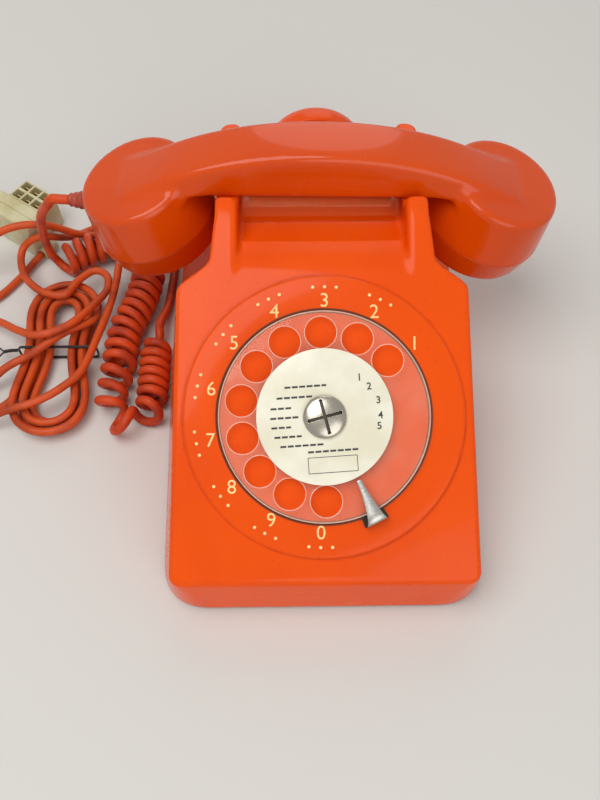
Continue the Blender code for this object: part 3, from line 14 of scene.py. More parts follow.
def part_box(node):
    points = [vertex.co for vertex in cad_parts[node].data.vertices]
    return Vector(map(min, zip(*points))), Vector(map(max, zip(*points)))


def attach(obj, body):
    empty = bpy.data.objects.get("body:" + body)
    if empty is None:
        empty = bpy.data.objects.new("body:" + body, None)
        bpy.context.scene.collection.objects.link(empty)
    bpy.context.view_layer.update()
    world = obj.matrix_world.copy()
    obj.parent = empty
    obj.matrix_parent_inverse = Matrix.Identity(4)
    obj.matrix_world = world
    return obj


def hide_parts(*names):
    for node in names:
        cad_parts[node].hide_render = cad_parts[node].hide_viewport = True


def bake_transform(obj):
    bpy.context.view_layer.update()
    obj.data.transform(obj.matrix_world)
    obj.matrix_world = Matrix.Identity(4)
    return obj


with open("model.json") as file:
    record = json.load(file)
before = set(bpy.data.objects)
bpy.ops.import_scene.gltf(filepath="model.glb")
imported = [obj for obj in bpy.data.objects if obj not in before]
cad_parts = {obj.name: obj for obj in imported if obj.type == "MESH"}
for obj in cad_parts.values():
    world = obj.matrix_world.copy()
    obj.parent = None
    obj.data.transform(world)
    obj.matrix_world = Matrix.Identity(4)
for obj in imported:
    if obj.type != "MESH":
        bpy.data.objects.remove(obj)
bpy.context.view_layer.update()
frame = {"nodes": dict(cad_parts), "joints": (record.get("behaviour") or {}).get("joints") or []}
mm = 0.001
up = np.array((0.0, 0.0, 1.0))
frontEdge = -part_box("earpiece_shell")[1][1]


def at(points):
    # from the casing's front edge to the frame's own origin
    return np.asarray(points, dtype=float) + (0.0, frontEdge, 0.0)


def unit(v):
    # v over its own length
    v = np.asarray(v, dtype=float)
    return v / np.linalg.norm(v, axis=-1, keepdims=True)


def ease(share):
    # a smooth step, 3 s^2 - 2 s^3, held at 0 and 1
    share = np.clip(share, 0.0, 1.0)
    return share * share * (3.0 - 2.0 * share)


def transformed(points, matrix):
    m = np.array(matrix)
    return np.asarray(points, dtype=float) @ m[:3, :3].T + m[:3, 3]


def standing(direction, origin):
    # a frame at origin whose Z points along direction
    turn = Vector((0.0, 0.0, 1.0)).rotation_difference(Vector(direction))
    return Matrix.Translation(origin) @ turn.to_matrix().to_4x4()


class Wire:
    # a socket that adds its own Math node whenever it meets an operator
    def __init__(self, finish, socket):
        self.finish = finish
        self.socket = socket

    def _math(self, operation, *values):
        return self.finish.node("ShaderNodeMath", {"operation": operation}, dict(enumerate(values)))

    def __add__(self, other):
        return self._math("ADD", self, other)

    def __sub__(self, other):
        return self._math("SUBTRACT", self, other)

    def __rsub__(self, other):
        return self._math("SUBTRACT", other, self)

    def __mul__(self, other):
        return self._math("MULTIPLY", self, other)

    __radd__ = __add__
    __rmul__ = __mul__

    def abs(self):
        return self._math("ABSOLUTE", self)

    def band(self, low, high):
        # 0 below low, 1 above high, smooth between
        return self.finish.node("ShaderNodeMapRange", {"interpolation_type": "SMOOTHSTEP"},
                                {"Value": self, "From Min": low, "From Max": high})


class Finish:
    # one material: its Principled shader, and nodes added by type, settings and socket values
    def __init__(self, name, **shader):
        self.material = bpy.data.materials.new(name)
        self.material.use_nodes = True
        self.tree = self.material.node_tree
        self.shader = self.tree.nodes["Principled BSDF"]
        self.set(**shader)

    def set(self, **shader):
        for key, value in shader.items():
            self._feed(self.shader.inputs[key.replace("_", " ")], value)
        return self

    def _feed(self, socket, value):
        if isinstance(value, Wire):
            self.tree.links.new(value.socket, socket)
        elif socket.type == "RGBA" and len(value) == 3:
            socket.default_value = (*value, 1.0)
        else:
            socket.default_value = value

    def node(self, kind, settings=None, values=None, out=0):
        node = self.tree.nodes.new(kind)
        for key, value in (settings or {}).items():
            setattr(node, key, value)
        for key, value in (values or {}).items():
            self._feed(node.inputs[key], value)
        return Wire(self, node.outputs[out])

    def place(self, scale=(1.0, 1.0, 1.0), move=(0.0, 0.0, 0.0)):
        spot = self.node("ShaderNodeTexCoord", out="Object")
        return self.node("ShaderNodeMapping", {"vector_type": "POINT"},
                         {"Vector": spot, "Scale": scale, "Location": move})

    def noise(self, size, detail=3.0, roughness=0.55, spot=None):
        return self.node("ShaderNodeTexNoise", None,
                         {"Vector": spot or self.place(), "Scale": 1.0 / size, "Detail": detail,
                          "Roughness": roughness})

    def length(self, spot):
        return self.node("ShaderNodeVectorMath", {"operation": "LENGTH"}, {0: spot}, out="Value")

    def mix(self, share, a, b):
        node = self.tree.nodes.new("ShaderNodeMix")
        node.data_type = "RGBA"
        self._feed(node.inputs[0], share)
        self._feed(node.inputs[6], a)
        self._feed(node.inputs[7], b)
        return Wire(self, node.outputs[2])

    def bump(self, height, depth, strength=1.0):
        return self.node("ShaderNodeBump", None,
                         {"Height": height, "Distance": depth, "Strength": strength})

    def seen(self):
        # 1 for what the eye, a reflection or a clear piece meets, 0 for light that falls on a surface
        eye, gloss, clear = (self.node("ShaderNodeLightPath", out=f"Is {kind} Ray")
                             for kind in ("Camera", "Glossy", "Transmission"))
        return eye + gloss + clear


class Sky(Finish):
    # the world's background, fed as a finish is
    def __init__(self, name, **shader):
        self.world = bpy.data.worlds.new(name)
        self.world.use_nodes = True
        self.tree = self.world.node_tree
        self.shader = self.tree.nodes["Background"]
        self.set(**shader)


def srgb(r, g, b):
    # written as seen on screen, 0 to 255, and turned into linear light
    c = np.array((r, g, b)) / 255.0
    return tuple(np.where(c <= 0.04045, c / 12.92, ((c + 0.055) / 1.055) ** 2.4))


def addPiece(name, points, faces, finish, body, smooth=True):
    # a mesh of its own with one finish; with no body it is attached to none
    points = np.asarray(points, dtype=np.float32).reshape(-1, 3)
    mesh = bpy.data.meshes.new(name)
    mesh.from_pydata(points, [], faces)
    mesh.update()
    mesh.polygons.foreach_set("use_smooth", np.full(len(mesh.polygons), smooth))
    mesh.materials.append(finish.material)
    piece = bpy.data.objects.new(name, mesh)
    bpy.context.collection.objects.link(piece)
    if body:
        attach(piece, body)
    return piece


def gridFaces(rows, columns, closeRows=False, closeColumns=False):
    # quads over a grid of points, its normal along d/drow x d/dcolumn
    i = np.arange(rows if closeRows else rows - 1)[:, None]
    j = np.arange(columns if closeColumns else columns - 1)[None, :]
    nextRow = (i + 1) % rows
    nextColumn = (j + 1) % columns
    corners = (i * columns + j, nextRow * columns + j, nextRow * columns + nextColumn,
               i * columns + nextColumn)
    return np.stack([np.broadcast_to(c, corners[2].shape) for c in corners], axis=-1).reshape(-1, 4)


def sharpen(piece, degrees):
    piece.data.set_sharp_from_angle(angle=math.radians(degrees))
    return piece


def facingOut(piece):
    # a closed mesh whose signed volume is negative has its faces turned
    mesh = piece.data
    mesh.calc_loop_triangles()
    triangles = np.empty(len(mesh.loop_triangles) * 3, dtype=np.int32)
    mesh.loop_triangles.foreach_get("vertices", triangles)
    points = np.empty(len(mesh.vertices) * 3)
    mesh.vertices.foreach_get("co", points)
    a, b, c = np.moveaxis(points.reshape(-1, 3)[triangles.reshape(-1, 3)], 1, 0)
    if np.einsum("ij,ij->", a, np.cross(b, c)) < 0.0:
        mesh.flip_normals()
    return piece


def smoothPath(points, spacing):
    # a Catmull-Rom curve through the points, read off at an even spacing
    p = np.asarray(points, dtype=float)
    p = np.vstack([2 * p[0] - p[1], p, 2 * p[-1] - p[-2]])
    a, b, c, d = (p[k:len(p) - 3 + k, None] for k in range(4))
    t = (np.arange(24) / 24.0)[None, :, None]
    dense = 0.5 * (2 * b + (c - a) * t + (2 * a - 5 * b + 4 * c - d) * t ** 2
                   + (3 * b - a - 3 * c + d) * t ** 3)
    return evenly(np.vstack([dense.reshape(-1, 3), p[-2]]), spacing)


def evenly(dense, spacing):
    # the path read off at equal steps of its own length
    lengths = np.concatenate([[0.0], np.cumsum(np.linalg.norm(np.diff(dense, axis=0), axis=1))])
    count = max(2, round(lengths[-1] / spacing))
    where = np.linspace(0.0, lengths[-1], count + 1)
    return np.stack([np.interp(where, lengths, dense[:, k]) for k in range(3)], axis=1)


def pathLength(path):
    return float(np.linalg.norm(np.diff(path, axis=0), axis=1).sum())


def carriedFrames(path):
    # a normal and a binormal at each point, turned as little as the path allows
    tangents = unit(np.gradient(path, axis=0))
    start = np.cross(tangents[0], up)
    if np.linalg.norm(start) < 1e-3:
        start = np.array((1.0, 0.0, 0.0))
    normals = [unit(start)]
    for tangent in tangents[1:]:
        leaning = normals[-1] - tangent * (normals[-1] @ tangent)
        normals.append(leaning / np.linalg.norm(leaning))
    normals = np.array(normals)
    return normals, np.cross(tangents, normals)


def tube(name, path, radius, finish, body, sides=12):
    # a ring of the given radius carried along the path, with a point at each end
    normals, binormals = carriedFrames(path)
    turn = np.linspace(0.0, 2 * math.pi, sides, endpoint=False)
    rings = path[:, None] + radius * (np.cos(turn)[None, :, None] * normals[:, None]
                                      + np.sin(turn)[None, :, None] * binormals[:, None])
    count = len(path)
    faces = gridFaces(count, sides, closeColumns=True)[:, ::-1].tolist()
    first = [(count * sides, j, (j + 1) % sides) for j in range(sides)]
    last = [(count * sides + 1, (count - 1) * sides + (j + 1) % sides, (count - 1) * sides + j)
            for j in range(sides)]
    points = np.vstack([rings.reshape(-1, 3), path[0], path[-1]])
    faces += [tuple(face[::-1]) for face in first + last]
    return addPiece(name, points, faces, finish, body)


view = {"place": (-0.01417, -0.08718, 0.35442), "tilt": 28.94, "turn": 1.42, "roll": 0.74,
        "lens": 34.74}


def setCamera():
    # looks along a line tilted up from straight down and turned about Z, then rolled about it
    tilt, turn, roll = (math.radians(view[k]) for k in ("tilt", "turn", "roll"))
    ahead = Vector((math.sin(turn) * math.sin(tilt), math.cos(turn) * math.sin(tilt), -math.cos(tilt)))
    level = Vector((math.cos(turn), -math.sin(turn), 0.0))
    above = level.cross(ahead)
    right = level * math.cos(roll) + above * math.sin(roll)
    top = above * math.cos(roll) - level * math.sin(roll)
    data = bpy.data.cameras.new("viewpoint")
    data.lens = view["lens"]
    data.sensor_width = 36.0
    data.clip_start = 0.01
    camera = bpy.data.objects.new("viewpoint", data)
    turned = Matrix((right, top, -ahead)).transposed().to_4x4()
    camera.matrix_world = Matrix.Translation(at(view["place"])) @ turned
    bpy.context.collection.objects.link(camera)
    bpy.context.scene.camera = camera


ground = {"half": 12.0, "tone": (214, 211, 205), "glow": (0.43, 0.42, 0.41), "glowFrom": 0.6,
          "glowFull": 2.4}


def setFloor():
    # beyond the lamps' reach the floor glows for the eye alone, as pale as the sky it meets
    finish = Finish("paleFloor", Base_Color=srgb(*ground["tone"]), Roughness=0.85,
                    Emission_Strength=1.0)
    away = finish.length(finish.place())
    shown = away.band(ground["glowFrom"], ground["glowFull"]) * finish.seen()
    finish.set(Emission_Color=finish.mix(shown, (0.0, 0.0, 0.0), ground["glow"]))
    mesh = bpy.data.meshes.new("floor")
    half = ground["half"]
    mesh.from_pydata([(-half, -half, 0.0), (half, -half, 0.0), (half, half, 0.0), (-half, half, 0.0)],
                     [], [(0, 1, 2, 3)])
    mesh.materials.append(finish.material)
    floor = bpy.data.objects.new("floor", mesh)
    bpy.context.collection.objects.link(floor)


lamps = {
    "window": {"place": (-0.35, -0.15, 1.10), "size": 0.45, "power": 30.0},
    "room": {"place": (0.45, -1.20, 0.65), "size": 0.60, "power": 26.0},
    "back": {"place": (0.10, 1.30, 0.90), "size": 0.50, "power": 14.0},
}
daylight = {"tone": (238, 238, 238), "falls": 0.40, "seen": 0.80}


def setLight():
    # three soft lamps, and a sky that looks brighter than the light it gives
    for name, lamp in lamps.items():
        data = bpy.data.lights.new(name, "POINT")
        data.shadow_soft_size = lamp["size"]
        data.energy = lamp["power"]
        light = bpy.data.objects.new(name, data)
        light.location = lamp["place"]
        bpy.context.collection.objects.link(light)
    sky = Sky("room", Color=srgb(*daylight["tone"]))
    sky.set(Strength=daylight["falls"] + (daylight["seen"] - daylight["falls"]) * sky.seen())
    bpy.context.scene.world = sky.world
    bpy.context.scene.view_settings.view_transform = "Standard"


setCamera()
setFloor()
setLight()
print("camera, floor and light are set")


def cordFinish(name, colour, dirty):
    # soft vinyl: duller and browner in patches, with a faint drawn grain
    finish = Finish(name)
    patches = finish.noise(0.018, 3.0).band(0.42, 0.72)
    specks = finish.noise(0.0016, 2.0).band(0.60, 0.78)
    tone = finish.mix(patches, colour, dirty)
    finish.set(Base_Color=finish.mix(specks * 0.25, tone, srgb(96, 44, 28)),
               Roughness=0.38 + 0.16 * patches,
               Normal=finish.bump(finish.noise(0.0009, 2.0), 0.00004, 0.6),
               Coat_Weight=0.08, Coat_Roughness=0.3, Specular_IOR_Level=0.20)
    return finish


cordShape = {"line": 0.0042, "curly": 0.0048, "gap": 0.0003, "gland": 0.0080, "glandZ": 0.0095,
             "lineX": -0.0300, "handsetX": -0.0540, "earpieceX": 0.0300, "caseLength": 0.2140,
             "lean": 0.0090, "rim": 0.0020, "sill": 0.0970}


def rearY(z):
    # the rear wall leans forward from its rim to the sill of the recess
    c = cordShape
    return c["caseLength"] - c["lean"] * (z - c["rim"]) / (c["sill"] - c["rim"])


def glandMouth(x):
    # where a cord leaves the gland at x
    return np.array((x, rearY(cordShape["glandZ"]) + cordShape["gland"], cordShape["glandZ"]))


def straightEnd(mouth, direction, diameter):
    # three points that bring a cord square into what it meets
    runs = cordShape["gap"] + np.array((2.0, 1.0, 0.0))[:, None] * diameter
    return mouth + np.asarray(direction) * runs


hank = {"centre": (-0.1375, 0.1320), "half": 0.0353, "start": 325.0, "turns": 4.389, "inner": 2.347,
        "waist": 0.0048, "swell": 0.0120, "waistAt": 0.12, "pitch": 0.0053, "low": 0.0031,
        "layer": 0.0047}


def hankPath():
    # loops drawn in at the tie: r = half cos t, s = sin t (waist + swell (cos t - waistAt)^2), each
    # moved out by a pitch a turn, winding in on top and out again underneath
    turn = np.linspace(0.0, hank["turns"], round(hank["turns"] * 36) + 1)
    t = math.radians(hank["start"]) + 2 * math.pi * turn

    def loop(t):
        wide = hank["waist"] + hank["swell"] * (np.cos(t) - hank["waistAt"]) ** 2
        return np.stack([hank["half"] * np.cos(t), wide * np.sin(t)], axis=1)

    along = unit(loop(t + 0.01) - loop(t - 0.01))
    ring = (np.abs(turn - hank["inner"]) * hank["pitch"])[:, None]
    flat = loop(t) + ring * np.stack([along[:, 1], -along[:, 0]], axis=1)
    layer = 1.0 - ease((turn - hank["inner"] + 0.25) / 0.5)
    height = hank["low"] + layer * hank["layer"]
    return np.stack([hank["centre"][0] - flat[:, 1], hank["centre"][1] + flat[:, 0], height], axis=1)


plugShape = {"corner": (-0.1600, 0.2046, 0.0), "along": (0.815, -0.580, 0.0),
             "size": (0.0460, 0.0140, 0.0240), "outlet": 0.0033,
             "outletAt": (0.0029, 0.0020, 0.0041), "block": (0.0230, 0.0145, 0.0215),
             "blockIn": 0.0064, "edge": 0.0014, "blockEdge": 0.0009, "cellPitch": (0.0071, 0.0068)}


def plugFrame():
    # X runs along the plug's length, away from its cord
    along = Vector(plugShape["along"]).normalized()
    axes = (along, Vector((-along.y, along.x, 0.0)), Vector((0.0, 0.0, 1.0)))
    turned = Matrix(axes).transposed().to_4x4()
    return Matrix.Translation(at(plugShape["corner"])) @ turned


def linePath():
    # one smooth run through the lead, the hank and the tail, kept on or above the table
    gap, thick = cordShape["gap"], cordShape["line"]
    start = straightEnd(glandMouth(cordShape["lineX"]), (0.0, 1.0, 0.0), thick)[::-1]
    lead = np.array([(-37.0, 246.0, 5.5), (-55.0, 251.0, 2.4), (-76.0, 249.0, 2.6),
                     (-91.0, 240.0, 8.0), (-99.0, 228.0, 17.0), (-103.5, 215.0, 24.0),
                     (-105.5, 202.0, 24.5), (-107.5, 190.0, 19.5), (-109.5, 177.0, 14.0),
                     (-111.5, 162.0, 12.6), (-115.6, 143.0, 12.8), (-121.6, 121.0, 12.8),
                     (-130.9, 110.0, 12.8), (-142.0, 102.5, 12.8), (-152.5, 98.5, 12.8),
                     (-162.0, 96.0, 11.0), (-171.0, 93.5, 6.5), (-180.0, 92.0, 3.0),
                     (-189.5, 94.0, 2.4), (-195.0, 101.0, 2.4), (-190.5, 109.0, 2.4),
                     (-179.5, 112.0, 4.0), (-169.0, 117.5, 8.6), (-160.5, 123.0, 12.6),
                     (-150.5, 129.0, 13.5), (-142.5, 135.5, 13.8), (-135.0, 142.0, 13.8),
                     (-127.5, 146.5, 13.6), (-121.5, 150.5, 12.6), (-118.9, 155.0, 10.0)]) * mm
    tail = np.array([(-157.0, 113.0, 2.6), (-163.5, 104.5, 2.6), (-173.0, 101.5, 3.6),
                     (-184.0, 101.5, 7.2), (-195.5, 102.0, 8.2), (-207.0, 108.0, 6.0),
                     (-213.0, 121.0, 4.0), (-209.5, 138.0, 4.0), (-198.0, 151.5, 5.0),
                     (-184.0, 156.5, 7.5), (-170.9, 153.0, 10.0), (-158.0, 144.0, 15.0),
                     (-146.3, 138.5, 18.4), (-134.2, 142.3, 18.6), (-126.0, 149.0, 18.2),
                     (-119.0, 160.0, 16.0), (-114.2, 171.0, 13.4), (-115.2, 181.0, 12.8),
                     (-122.5, 185.0, 12.8), (-130.5, 178.5, 12.8), (-137.0, 168.5, 12.8),
                     (-149.0, 170.5, 12.8), (-159.3, 179.5, 12.4), (-164.6, 191.5, 12.0),
                     (-163.9, 200.0, 14.5), (-157.5, 202.6, 19.0), (-150.5, 203.6, 20.0),
                     (-146.0, 207.0, 15.5), (-142.2, 213.0, 8.5), (-137.8, 218.6, 4.0),
                     (-129.7, 224.7, 2.4), (-118.0, 230.5, 2.4), (-105.0, 232.0, 2.4),
                     (-97.0, 226.0, 2.4), (-99.5, 217.5, 2.4), (-110.0, 215.0, 2.6),
                     (-122.0, 216.0, 5.0), (-131.5, 214.2, 9.0), (-137.0, 211.2, 14.0),
                     (-142.8, 208.8, 20.5), (-149.0, 206.0, 26.5), (-160.5, 203.4, 29.5),
                     (-172.3, 200.0, 28.0), (-184.0, 195.0, 22.0), (-192.0, 186.5, 13.0),
                     (-192.0, 176.0, 5.5), (-185.5, 171.0, 2.6), (-176.9, 175.5, 2.5),
                     (-167.7, 187.9, 2.6)]) * mm
    x, y, z = plugShape["outletAt"]
    mouth = np.array([(x, y - gap - back, z) for back in (thick, 0.0)])
    path = smoothPath(np.vstack([at(np.vstack([start, lead, hankPath(), tail])),
                                 transformed(mouth, plugFrame())]), 0.0021)
    path[:, 2] = np.maximum(path[:, 2], thick / 2 + 0.0001)
    return path


boot = {"length": 0.0100, "radius": 0.0050, "drop": 0.0120, "turn": 187.0}
cup = {"x": 0.0854, "y": 0.1715, "top": 0.0949, "tilt": 15.6, "radius": 0.0267, "seam": 0.0305,
       "seamDrop": 0.0235, "shoulder": 0.0032, "cap": 0.0287, "drop": 0.0386, "askew": -1.2}

# the handset lies a little askew in its cradle
askew = Matrix.Rotation(math.radians(cup["askew"]), 4, "Z")
handsetFrame = Matrix.Translation(at((0.0, cup["y"], 0.0))) @ askew


def cupFrame(side):
    # Z runs up the cup's own axis from the middle of its top, leaning outwards
    tilt = math.radians(cup["tilt"])
    leaning = standing((side * math.sin(tilt), 0.0, math.cos(tilt)), (side * cup["x"], 0.0, cup["top"]))
    return handsetFrame @ leaning


def cupFlare():
    # the angle at which a cup widens from its shoulder to its seam
    return math.atan2(cup["seam"] - cup["radius"], cup["seamDrop"] - cup["shoulder"])


def bootFrame():
    # Z stands square on the flared side of the left cup
    flare = cupFlare()
    radius = cup["radius"] + (boot["drop"] - cup["shoulder"]) * math.tan(flare)
    turn = math.radians(boot["turn"])
    out = Vector((math.cos(turn), -math.sin(turn), 0.0))
    normal = out * math.cos(flare) + Vector((0.0, 0.0, math.sin(flare)))
    seat = out * radius + Vector((0.0, 0.0, -boot["drop"])) + normal * cordShape["gap"]
    return cupFrame(-1) @ standing(normal, seat)


curl = {"radius": 0.0070, "back": 0.0060, "pitch": 0.0056, "first": 75.0, "narrow": 0.1300,
        "slack": 0.50, "slackAt": 0.1450, "tail": 0.1370, "fade": 0.0160, "unwind": 5.0,
        "perTurn": 24}


def curlyPath():
    # curls wound round a line on the table: centre + radius (side cos a + across sin a), where
    # a grows by a turn a pitch and the pitch opens where the line bends
    thick = cordShape["curly"]
    coilZ, backZ = (curl[k] + thick / 2 + 0.0001 for k in ("radius", "back"))
    coil = [(-144.0, 191.5), (-130.0, 201.5), (-114.0, 207.0), (-100.5, 202.0), (-93.5, 188.0),
            (-94.5, 173.0), (-97.7, 160.0), (-101.7, 149.0), (-103.2, 137.0), (-103.7, 124.0)]
    back = [(-105.6, 111.0), (-105.3, 100.0), (-99.0, 92.6), (-90.5, 93.1), (-85.6, 100.5),
            (-85.2, 112.0), (-85.2, 126.0), (-85.0, 140.0), (-84.2, 153.0)]
    tail = np.array([(-81.6, 168.0, 3.4), (-80.0, 190.0, 2.8), (-79.5, 212.0, 2.8), (-79.0, 230.0, 2.9),
                     (-72.5, 243.5, 3.4), (-61.5, 246.5, 5.6), (-55.0, 239.5, 8.0)]) * mm
    line = np.vstack([np.column_stack([np.array(coil) * mm, np.full(len(coil), coilZ)]),
                      np.column_stack([np.array(back) * mm, np.full(len(back), backZ)]), tail,
                      straightEnd(glandMouth(cordShape["handsetX"]), (0.0, 1.0, 0.0), thick)])
    line = smoothPath(line, 0.0008)
    count = len(line)
    here = np.linspace(0.0, pathLength(line), count)
    step = here[1]
    last = here[-1] - curl["tail"]
    index = np.arange(count)
    tangent = unit(line[np.minimum(index + 1, count - 1)] - line[np.maximum(index - 1, 0)])
    side = unit(up - tangent * (tangent @ up)[:, None])
    across = np.cross(side, tangent)
    near, far = line[np.maximum(index - 8, 0)], line[np.minimum(index + 8, count - 1)]
    bend = 4 * np.linalg.norm(near + far - 2 * line, axis=1) / np.sum((far - near) ** 2, axis=1)
    wide = curl["radius"] + (curl["back"] - curl["radius"]) * ease((here - curl["narrow"]) / 0.0150)
    pitch = curl["pitch"] / np.maximum(1.0 - wide * bend, 0.40)
    pitch *= 1.0 + curl["slack"] * np.maximum(0.0, 1.0 - np.abs(here - curl["slackAt"]) / 0.0400)
    fading = ease((last - here) / curl["fade"])
    radius = wide * fading
    pitch *= 1.0 + curl["unwind"] * (1.0 - fading)
    turns = np.cumsum(2 * math.pi * step / pitch)
    angle = math.radians(curl["first"]) + np.concatenate([[0.0], turns[:-1]])
    curled = angle[radius > 0.0]
    wanted = np.arange(curled[0], curled[-1], 2 * math.pi / curl["perTurn"])

    def read(values):
        columns = np.atleast_2d(np.asarray(values).T)
        return np.stack([np.interp(wanted, angle, column) for column in columns], axis=1)

    curls = read(line) + read(radius) * (read(side) * np.cos(wanted)[:, None]
                                         + read(across) * np.sin(wanted)[:, None])
    curls[:, 2] = np.maximum(curls[:, 2], thick / 2 + 0.0001)
    start = bootFrame() @ Vector((0.0, 0.0, boot["length"]))
    heading = bootFrame().to_3x3() @ Vector((0.0, 0.0, 1.0))
    hanging = np.vstack([straightEnd(np.array(start), np.array(heading), thick)[::-1],
                         at(np.array([(-132.0, 180.5, 70.0), (-137.5, 183.5, 61.5),
                                      (-142.0, 187.5, 50.0), (-146.0, 192.5, 35.0),
                                      (-148.5, 196.8, 21.0)]) * mm)])
    straight = at(line[radius <= 0.0][::3])
    drop = smoothPath(np.vstack([hanging, at(curls[:1])]), 0.0022)[:-1]
    whole = np.vstack([drop, at(curls), straight, at(line[-1:])])
    apart = np.linalg.norm(np.diff(whole, axis=0), axis=1) > 0.0004
    return whole[np.concatenate([[True], apart])][::-1]


orangeCord = cordFinish("orangeVinyl", srgb(204, 80, 30), srgb(160, 58, 26))
curlyVinyl = cordFinish("curlyVinyl", srgb(206, 72, 28), srgb(158, 50, 24))
blackTie = Finish("blackTie", Base_Color=srgb(26, 25, 25), Roughness=0.45)

lineRoute = linePath()
lineCord = tube("lineCord", lineRoute, cordShape["line"] / 2, orangeCord, "telephone_base")
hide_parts("line_cord", "line_cord_hank", "line_cord_end")
print("line cord", round(pathLength(lineRoute), 3), "m")

route = curlyPath()
curlyCord = tube("curlyCord", route, cordShape["curly"] / 2, curlyVinyl, None)
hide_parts("handset_cord")
tuple(at(glandMouth(cordShape["handsetX"])))
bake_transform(curlyCord)
print("curly cord", round(pathLength(route), 3), "m")


# the grime tone is both dirt in the specks and painted shade in the casing's seam
orangeShade = {"lit": (0.84, 0.084, 0.001), "deep": (0.76, 0.066, 0.001),
               "grimeAndShade": (0.16, 0.030, 0.006)}


def orangePlastic(name, shade=1.0, coat=0.14):
    # clean glossy moulding: faint flow marks in the colour, handling haze in the gloss, and
    # an uneven skin a few hundredths of a millimetre deep
    finish = Finish(name, Coat_Weight=coat, Coat_Roughness=0.06, Specular_IOR_Level=0.10)
    flow = finish.noise(0.045, 2.0).band(0.35, 0.70)
    haze = finish.noise(0.012, 4.0).band(0.38, 0.74)
    specks = finish.noise(0.0011, 1.0).band(0.715, 0.76)
    # a shade below 1 darkens the whole orange as painted shade; the handset and its caps take it
    lit, deep = (tuple(shade * v for v in orangeShade[k]) for k in ("lit", "deep"))
    tone = finish.mix(flow * 0.55, lit, deep)
    scratches = finish.noise(0.0035, 3.0, spot=finish.place(scale=(1.0, 9.0, 9.0))).band(0.62, 0.72)
    finish.set(Base_Color=finish.mix(specks * 0.30, tone, orangeShade["grimeAndShade"]),
               Roughness=0.20 + 0.10 * haze + 0.05 * scratches,
               Normal=finish.bump(finish.noise(0.0045, 2.0), 0.00006, 0.35))
    return finish


def paintShadeOver(finish, colour, mask):
    # lays a second colour over what already feeds the shader's colour; here it is always a painted
    # shade
    socket = finish.shader.inputs["Base Color"]
    under = Wire(finish, socket.links[0].from_socket)
    finish.set(Base_Color=finish.mix(mask, under, colour))
    return finish


def carved(piece, *changes):
    # modifiers and cutting solids, in order, turned into the piece's own mesh
    tools = []
    for kind, settings, tool in changes:
        modifier = piece.modifiers.new(kind.lower(), kind)
        for key, value in settings.items():
            setattr(modifier, key, value)
        if tool:
            modifier.object = tool
            tools.append(tool)
    bpy.context.view_layer.update()
    seen = piece.evaluated_get(bpy.context.evaluated_depsgraph_get())
    mesh = bpy.data.meshes.new_from_object(seen, preserve_all_data_layers=True,
                                           depsgraph=bpy.context.evaluated_depsgraph_get())
    piece.modifiers.clear()
    old = piece.data
    piece.data = mesh
    bpy.data.meshes.remove(old)
    for tool in tools:
        bpy.data.objects.remove(tool, do_unlink=True)
    return piece


def bevel(width, segments, degrees):
    return ("BEVEL", {"width": width, "segments": segments, "limit_method": "ANGLE",
                      "angle_limit": math.radians(degrees)}, None)


def solidChange(operation, tool):
    return ("BOOLEAN", {"operation": operation, "solver": "EXACT"}, tool)


def cutter(points, faces):
    # a closed solid for carved() to add or take away
    mesh = bpy.data.meshes.new("cutter")
    mesh.from_pydata(np.asarray(points, dtype=float).reshape(-1, 3), [], faces)
    mesh.update()
    tool = bpy.data.objects.new("cutter", mesh)
    bpy.context.collection.objects.link(tool)
    return facingOut(tool)


def lofted(rings):
    # quads between rings of equal count, closed round, with a flat face at each end
    rings = np.asarray(rings, dtype=float)
    rows, columns = rings.shape[:2]
    faces = gridFaces(rows, columns, closeColumns=True).tolist()
    faces.append(tuple(range(columns)))
    faces.append(tuple(range((rows - 1) * columns, rows * columns))[::-1])
    return rings.reshape(-1, 3), faces


def roundMax(a, b, k):
    # the larger of two distances, rounded where they are within k of each other
    h = np.maximum(k - np.abs(a - b), 0.0) / k
    return np.maximum(a, b) + h * h * k / 4


def fieldSlope(field, points):
    # the field's change along X, Y and Z, by central differences
    step = 0.00004
    return np.stack([(field(points + s) - field(points - s)) / (2 * step)
                     for s in np.eye(3) * step], axis=1)


def meshOfField(field, low, high, cell):
    # surface nets: a point in each cell that the surface crosses, a quad round each grid edge
    # that it crosses, then every point is moved on to the surface along the field's slope
    axes = [np.arange(a, b + cell, cell) for a, b in zip(low, high)]
    shape = tuple(len(axis) for axis in axes)
    grid = np.stack(np.meshgrid(*axes, indexing="ij"), axis=-1)
    inside = field(grid.reshape(-1, 3)).reshape(shape) < 0.0
    corners = sum(inside[i:shape[0] - 1 + i, j:shape[1] - 1 + j, k:shape[2] - 1 + k].astype(int)
                  for i in (0, 1) for j in (0, 1) for k in (0, 1))
    mixed = (corners > 0) & (corners < 8)
    index = np.full(mixed.shape, -1)
    index[mixed] = np.arange(mixed.sum())
    points = grid[:-1, :-1, :-1][mixed] + cell / 2
    for _ in range(6):
        slope = fieldSlope(field, points)
        share = field(points) / np.maximum((slope ** 2).sum(axis=1), 0.2)
        points = points - slope * np.clip(share * 0.9, -cell / 2, cell / 2)[:, None]
    quads = []
    for axis in range(3):
        side = np.moveaxis(inside, axis, 0)
        cells = np.moveaxis(index, axis, 0)
        near, far = side[:-1, 1:-1, 1:-1], side[1:, 1:-1, 1:-1]
        change = near != far
        ring = np.stack([c[change] for c in (cells[:, :-1, :-1], cells[:, 1:, :-1], cells[:, 1:, 1:],
                                             cells[:, :-1, 1:])], axis=-1)
        turned = far[change] if axis != 1 else ~far[change]
        ring[turned] = ring[turned][:, ::-1]
        quads.append(ring)
    return points, np.vstack(quads)


def slopeNormals(piece, field, points):
    # each vertex is shaded by the field's own slope
    piece.data.normals_split_custom_set_from_vertices(unit(fieldSlope(field, points)).tolist())


